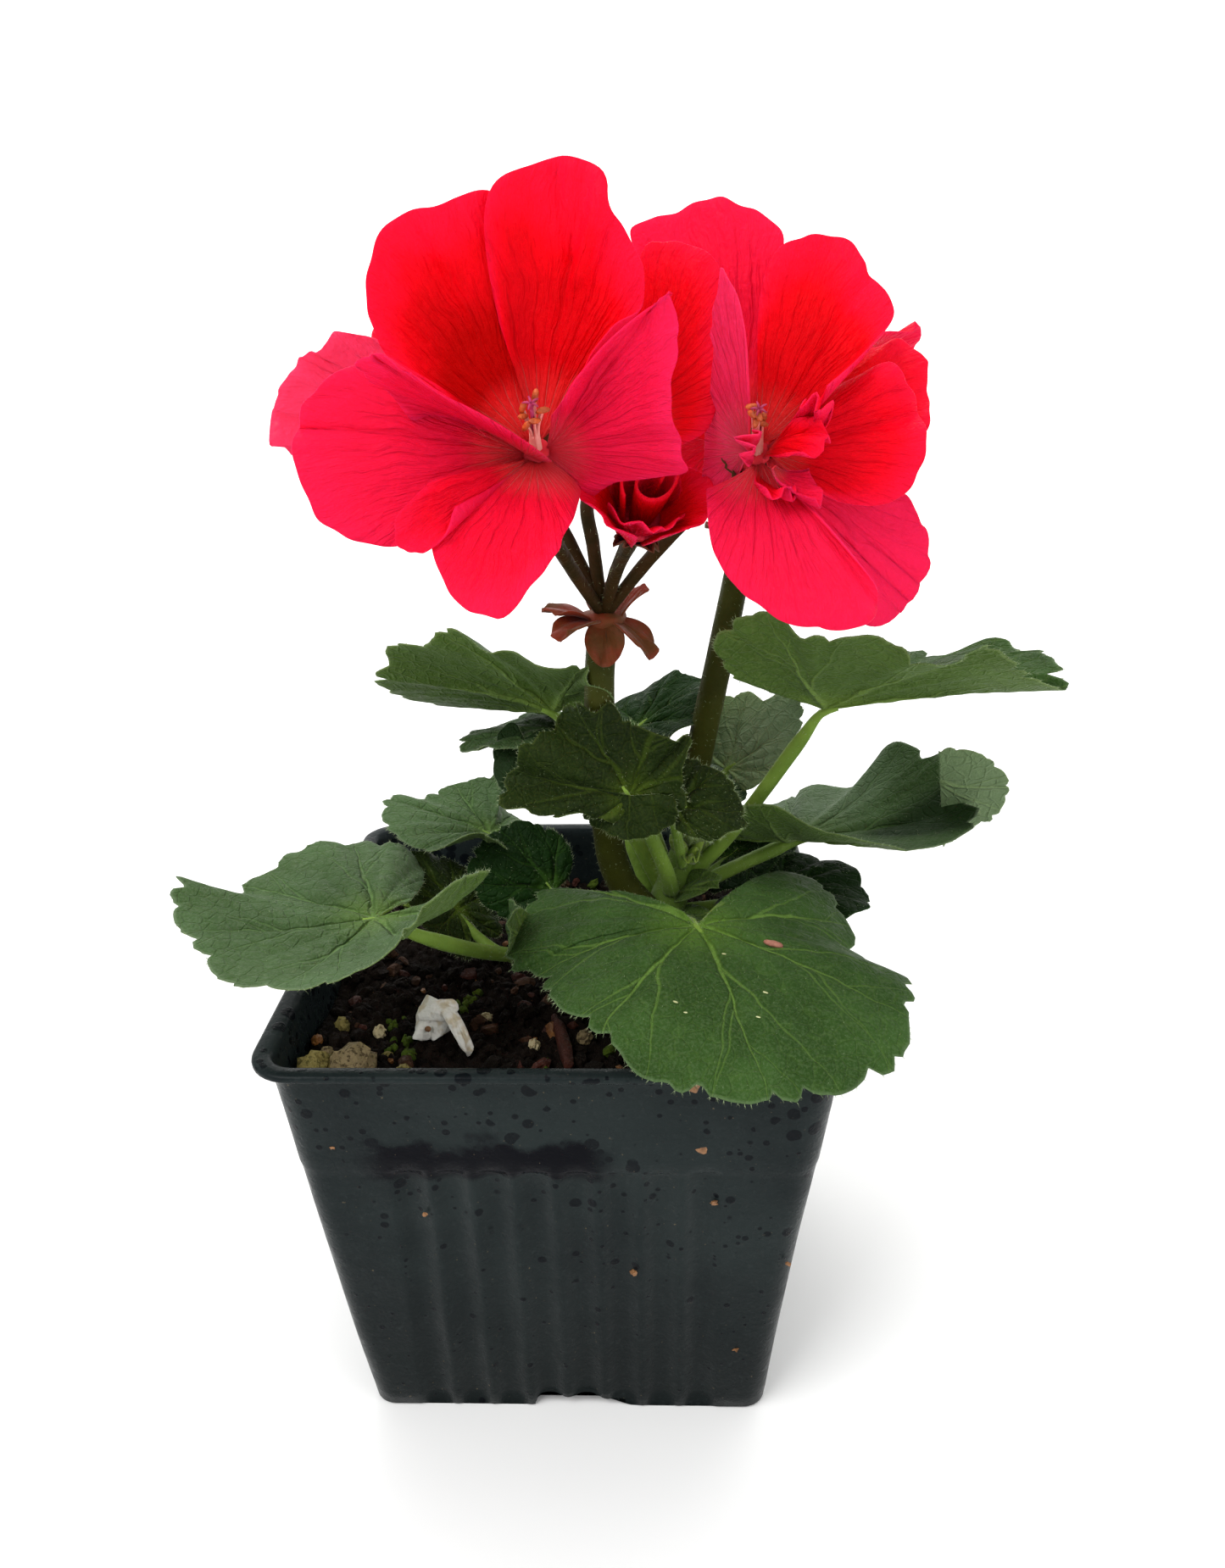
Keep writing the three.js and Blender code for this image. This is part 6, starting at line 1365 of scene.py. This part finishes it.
potShape = {"top": 90, "bottom": 69, "height": 77, "wall": 0.9, "rim": 2.2, "rimDepth": 1.3, "cornerTop": 7,
            "cornerBottom": 4, "band": 21, "flutes": 8, "fluteSpan": 52, "fluteDepth": 1.15, "notchWidth": 12,
            "notchHeight": 2.2, "notchDepth": 4.5}


# Square with rounded corners; dents(place along the side) pushes its sides in
def squareLoop(half, corner, height, dents=None, raised=None, perSide=120):
    straight = half - corner
    along = np.linspace(-straight, straight, perSide)
    points = np.stack([along, np.full(perSide, -half), np.zeros(perSide)], -1)
    if dents is not None:
        points[:, 1] += dents(along)
    if raised is not None:
        points[:, 2] = raised(along)
    angle = np.radians(np.linspace(-90, 0, 10)[1:-1])
    bend = np.stack([straight + corner * np.cos(angle), -straight + corner * np.sin(angle), np.zeros(8)], -1)
    x, y, z = np.vstack([points, bend]).T
    turned = []
    for c, s in ((1, 0), (0, 1), (-1, 0), (0, -1)):
        turned.append(np.stack([x * c - y * s, x * s + y * c, z], -1))
    loop = np.vstack(turned)
    loop[:, 2] += height
    return loop


def stackPart(loops):
    points = np.vstack([[loops[0][:, 0].mean(), loops[0][:, 1].mean(), loops[0][:, 2].min()], *loops,
                        [0, 0, loops[-1][:, 2].max()]])
    return newPart(points, [(faces, 0) for faces in ringFaces(len(loops), len(loops[0]))])


def potSection(shape, z):
    share = z / shape["height"]
    half = (shape["bottom"] + (shape["top"] - 2 * shape["rim"] - shape["bottom"]) * share) / 2
    return half, shape["cornerBottom"] + (shape["cornerTop"] - shape["rim"] - shape["cornerBottom"]) * share


def makePot(shape):
    def wall(z, inwards, depth, raised=None):
        half, corner = potSection(shape, z)

        def dents(along):
            phase = (along / shape["fluteSpan"] + 0.5) * shape["flutes"]
            inside = (phase > 0) & (phase < shape["flutes"])
            return np.where(inside, depth * (1 - np.abs(np.cos(np.pi * phase)) ** 3), 0)
        return squareLoop(half - inwards, max(corner - inwards, 1), z, dents, raised)

    def notch(along):
        edge = np.minimum((shape["notchWidth"] / 2 + along) / 0.9, (shape["notchWidth"] - along) / 7)
        edge = np.clip(edge, 0, 1)
        return shape["notchHeight"] * edge * edge * (3 - 2 * edge)

    height, foot, deep = shape["height"], shape["height"] - shape["band"], shape["fluteDepth"]
    loops = [wall(0, 30, 0), wall(0, shape["notchDepth"] + 0.6, 0), wall(0, shape["notchDepth"], 0, notch),
             wall(0, 0.35, 0, notch), wall(0.4, 0, deep, lambda x: np.maximum(notch(x) - 0.4, 0))]
    loops += [wall(z, 0, deep) for z in np.linspace(3.2, foot - 1.2, 16)]
    loops += [wall(foot - 0.4, -0.02, deep * 0.8), wall(foot + 0.3, -0.12, deep * 0.3),
              wall(foot + 0.9, -0.2, 0)]
    loops += [wall(z, -0.2, 0) for z in np.linspace(foot + 3, height - shape["rimDepth"] - 0.6, 8)]
    outer, corner, rimFoot = shape["top"] / 2, shape["cornerTop"], height - shape["rimDepth"]
    gap = outer - potSection(shape, rimFoot)[0]
    for inwards, z in ((gap - 0.45, rimFoot - 0.15), (gap - 0.9, rimFoot - 0.02), (0.3, rimFoot),
                       (0.05, rimFoot + 0.25), (0, rimFoot + 0.7), (0.12, height - 0.25),
                       (0.5, height - 0.03), (1.2, height), (gap + shape["wall"] - 0.9, height - 0.05),
                       (gap + shape["wall"] - 0.45, height - 0.3)):
        loops.append(squareLoop(outer - inwards, max(corner - inwards, 2), z))
    for z in (height - 1.4, height - 4, height - 8, height - 12, 60, 40, 20, 3.4):
        loops.append(wall(z, shape["wall"] + (0.7 if z < height - 9 else 0), 0))
    loops.append(wall(2.7, shape["wall"] + 1.2, 0))
    loops.append(wall(2.7, 28, 0))
    body = stackPart(loops)
    points = body["points"]
    x, y, z = points.T
    inside = (z > 3) & (z < height - 3)
    push = 0.22 * np.sin(0.11 * x + 0.7) * np.sin(0.09 * z + 0.5) + 0.1 * np.sin(0.31 * x + 0.21 * z)
    for px, pz, size in ((-27, 26, 4), (-28, 15, 3.5), (28, 25, 4.5)):
        push = push + 0.5 * np.exp(-((x - px) / size) ** 2 - ((z - pz) / 1.5) ** 2)
    front = (y < -30) & inside
    points[front, 1] += push[front]
    side = (np.abs(x) > 30) & inside
    points[side, 0] += (0.25 * np.sin(0.1 * y + 0.08 * z))[side]
    draw = np.random.default_rng(12)
    makePiece("potShell", [body], ["charcoalPlastic"], ["pot"])
    bits = []
    for px, z, size in ((-33.8, 61.4, 0.5), (22.4, 61.3, 1), (11.8, 34.3, 0.8), (28.9, 15.8, 0.8),
                        (27, 70, 0.6), (24.6, 50, 0.6), (36.7, 36.4, 0.5), (-21, 47, 0.4)):
        half = potSection(shape, z)[0]
        bits.append(lumpPart((px, -half + 0.1, z), (size, 0.35, size * 0.8), draw.normal(0, 1, 3), draw,
                             0.35, 5, 8, smooth=False))
    for px, py, z, size in ((19.5, -45, 76.6, 1.6), (20.8, -45.2, 75.8, 1.1), (18.4, -44.6, 77.2, 1)):
        bits.append(lumpPart((px, py, z), (size, 0.5, size * 0.7), (0.3, 0.2, 1), draw, 0.35, 5, 8,
                             smooth=False))
    makePiece("potDebris", bits, ["tanBit"])


soilShape = {"front": 70, "back": 65.5, "cells": 170, "crumbs": 1100}
# Stony grains: place, size and material slot
grains = [(-37.2, -33.8, 3.6, 5), (-31, -34.6, 4.2, 3), (-36.2, -20.7, 1.6, 5), (-30, -21.2, 1.4, 6),
          (-3.9, -26, 1.3, 6), (4.2, -24.7, 1.6, 3), (-23.3, -34.4, 1.7, 5), (-36.8, -28.4, 1.2, 3),
          (-12.8, -17.6, 1.2, 6), (-39.2, -25.6, 1.1, 7), (-27, -29.5, 1, 5)]


def soilLevel(x, y):
    share = np.clip((y + 40) / 80, 0, 1)
    level = soilShape["front"] + (soilShape["back"] - soilShape["front"]) * share
    return level + 0.8 * np.sin(0.31 * x + 1) * np.cos(0.27 * y) - 0.02 * np.maximum(0, x - 5)


def bumps(x, y):
    return (0.7 * np.sin(1.9 * x + 0.7 * y) * np.cos(1.3 * y - 0.4 * x)
            + 0.35 * np.sin(3.7 * x - 2.1 * y + 1) * np.sin(4.3 * y + 0.9 * x)
            + 0.2 * np.sin(7.9 * x + 5.3 * y) * np.cos(6.7 * y - 7.1 * x))


def makeSoil(shape):
    draw = np.random.default_rng(7)
    cells = shape["cells"]
    u, v = np.meshgrid(np.linspace(-1, 1, cells), np.linspace(-1, 1, cells), indexing="ij")
    # the corners of the grid are drawn in, to a rounded square
    half = potSection(potShape, shape["front"])[0] - potShape["wall"] - 0.4
    pull = 1 - 0.055 * (u * u * v * v) ** 2
    x, y = half * u * pull, half * v * pull
    edge = np.maximum(np.abs(u), np.abs(v))
    z = soilLevel(x, y) + bumps(x, y) * np.clip((1 - edge) * 12, 0.2, 1) + draw.normal(0, 0.12, x.shape)
    z = z - 0.8 * np.clip((edge - 0.97) / 0.03, 0, 1)
    top = np.stack([x, y, z], -1).reshape(-1, 3)
    quads, loop = gridFaces(cells, cells)
    lowHalf = potSection(potShape, 3)[0] - potShape["wall"] - 0.9
    waist = top[loop] * (0.962, 0.962, 1) - (0, 0, 3.5)
    low = top[loop] * (lowHalf / half, lowHalf / half, 0) + (0, 0, 3.0)
    count, around = len(top), len(loop)
    under = count + np.arange(around)
    walls = [(np.stack([below, np.roll(below, -1), np.roll(above, -1), above], -1), 0)
             for above, below in ((loop, under), (under, under + around))]
    floor = np.stack([np.full(around, count + 2 * around), np.roll(under, -1) + around, under + around], -1)
    block = newPart(np.vstack([top, waist, low, [0, 0, 3.0]]), [(quads, 0), *walls, (floor, 0)])
    crumbs = [block]
    for _ in range(shape["crumbs"]):
        px, py = draw.uniform(-half + 2, half - 2, 2)
        size = draw.uniform(0.3, 1.0) ** 2 * 2.0
        slot = draw.choice(5, p=(0.76, 0.12, 0.01, 0.04, 0.07)) if px + py < 60 else 0
        crumbs.append(lumpPart((px, py, soilLevel(px, py) + 0.35 * size),
                               (size, size * draw.uniform(0.5, 1), size * 0.6), draw.normal(0, 1, 3), draw,
                               0.25, 4, 6, (0, 1, 2, 7, 4)[slot], smooth=False))
    for px, py, size in ((-24.6, -29, 1.5), (-25.9, -25.5, 1.2), (-16, -11.3, 1.5), (-2.2, -33.5, 1.4),
                         (-28, -20, 1)):
        for _ in range(6):
            ox, oy = draw.normal(0, 1.2, 2)
            crumbs.append(lumpPart((px + ox, py + oy, soilLevel(px + ox, py + oy) + 0.5),
                                   (size * 0.6, size * 0.6, size * 0.4), draw.normal(0, 1, 3), draw,
                                   0.3, 5, 8, 2))
    for px, py, size, slot in grains:
        crumbs.append(lumpPart((px, py, soilLevel(px, py) + 0.3 * size), (size, size * 0.85, size * 0.75),
                               draw.normal(0, 1, 3), draw, 0.16, 9, 12, slot, smooth=False))
    crumbs.append(tubePart([(2.2, -33, 70.4), (0.6, -26, 71.3), (-1.2, -18.5, 70)], [0.8, 1.1, 1, 0.6],
                           9, 18, 4, 0.12, 0.15, 9))
    makePiece("soilBlock", crumbs, ["peat", "bark", "moss", "perlite", "barkStick", "greenGrain",
                                    "creamGrain", "amber"], ["soil"])


# A dry curled sheath: broad body, cap and thin tail that arches down to the soil
flakeShape = [
    {"root": (-19.4, -23.2, 76.2), "tip": (-22.2, -26, 70.6), "face": (-0.3, -0.85, 0.5), "width": 9,
     "curl": 30, "bend": (-60, -75), "claw": 0.8, "round": 0.6, "wavy": 0.9},
    {"root": (-22.6, -24.3, 74.6), "tip": (-16, -24.6, 75.6), "face": (0, -0.5, 0.9), "width": 4.6,
     "curl": 55, "bend": (-50, -70), "claw": 0.6, "wavy": 0.3},
    {"root": (-18.8, -23.8, 76.2), "tip": (-13.8, -29.6, 69.9), "face": (0.4, -0.5, 0.7), "width": 3,
     "curl": 75, "bend": (-60, -60), "pointed": True, "wavy": 0.3},
]


def makeFlake(shapes):
    draw = np.random.default_rng(3)
    parts = [petalPart(shape, draw, 64, 18, 0.3, (0, 0)) for shape in shapes]
    for spot, size in (((-20.8, -26.4, 72.8), 0.6), ((-19, -25.6, 74.4), 0.3)):
        parts.append(lumpPart(spot, (size, size * 0.8, 0.2), (-0.2, -0.85, 0.5), draw, 0.25, 6, 9, 1))
    makePiece("dryFlake", parts, ["dryFlake", "tanBit"], ["white_flake"])


# Floor that curves up into a wall
def makeStage():
    tree, shader = newMaterial("paleFloor", **{"Roughness": 0.9, "Specular IOR Level": 0.1})
    patches = useGroup(tree, mottle, {"Place": objectPlace(tree), "Scale": 3, "Ground": tone(246, 246, 245),
                                      "Patch": tone(240, 240, 240), "Amount": 0.5})
    fill(tree, shader.inputs, {"Base Color": patches["Colour"]})
    wide, deep, bend, tall = 6.0, 2.0, 0.8, 3.5
    turns = [math.radians(90 * i / 12) for i in range(1, 13)]
    curve = [(deep + bend * math.sin(turn), bend - bend * math.cos(turn)) for turn in turns]
    rows = [(-wide, 0.0), (deep, 0.0), *curve, (deep + bend, tall)]
    mesh = bpy.data.meshes.new("floor")
    mesh.from_pydata([(side * wide, y, z) for y, z in rows for side in (-1, 1)], [],
                     [(2 * i, 2 * i + 1, 2 * i + 3, 2 * i + 2) for i in range(len(rows) - 1)])
    mesh.shade_smooth()
    mesh.materials.append(finishes["paleFloor"])
    floor = bpy.data.objects.new("floor", mesh)
    bpy.context.scene.collection.objects.link(floor)


def setWorld():
    world = bpy.data.worlds.new("paleRoom")
    world.use_nodes = True
    background = world.node_tree.nodes["Background"]
    background.inputs["Color"].default_value = (1, 1, 1, 1)
    background.inputs["Strength"].default_value = 0.68
    bpy.context.scene.world = world


setCamera(photoCamera)
setWorld()
makeStage()
addLight("key", (-0.55, -0.55, 0.95), (0, 0, 0.11), (0.7, 0.7), 9)
addLight("fill", (0.8, -0.5, 0.55), (0, 0, 0.11), (0.8, 0.8), 3)
addLight("top", (0.05, 0.3, 1.0), (0, 0, 0.1), (0.8, 0.8), 4)
addLight("wall", (0, 1.2, 1.9), (0, 2.9, 0.4), (3.0, 0.8), 60)
bpy.context.scene.view_settings.view_transform = "Standard"

print("pot and soil")
makePot(potShape)
makeSoil(soilShape)
makeFlake(flakeShape)
print("stem and stalks")
makeStem(stemShape)
for node, shape in stalks.items():
    makeStalk(node, shape)
for node, shape in bracts.items():
    makeBracts(node, shape)
print("leaves")
for number, shape in enumerate(leaves, 1):
    makeLeaf(number, shape)
print("florets")
for node, shape in florets.items():
    makeFloret(node, shape)
    if node != "floret_middle":
        makeStamens(node, shape)
makeBud(budShape)
print("hairs")
for name, store, slot in (("leafHairs", leafHairs, "leaf"), ("stemHairs", stemHairs, "stem")):
    makePiece(name, [hairPart(*map(np.concatenate, zip(*store)))], ["hair"])

triangles = sum(len(piece.data.loops) - 2 * len(piece.data.polygons) for piece in bpy.data.objects
                if piece.type == "MESH" and not piece.hide_render)
print("triangles", triangles)
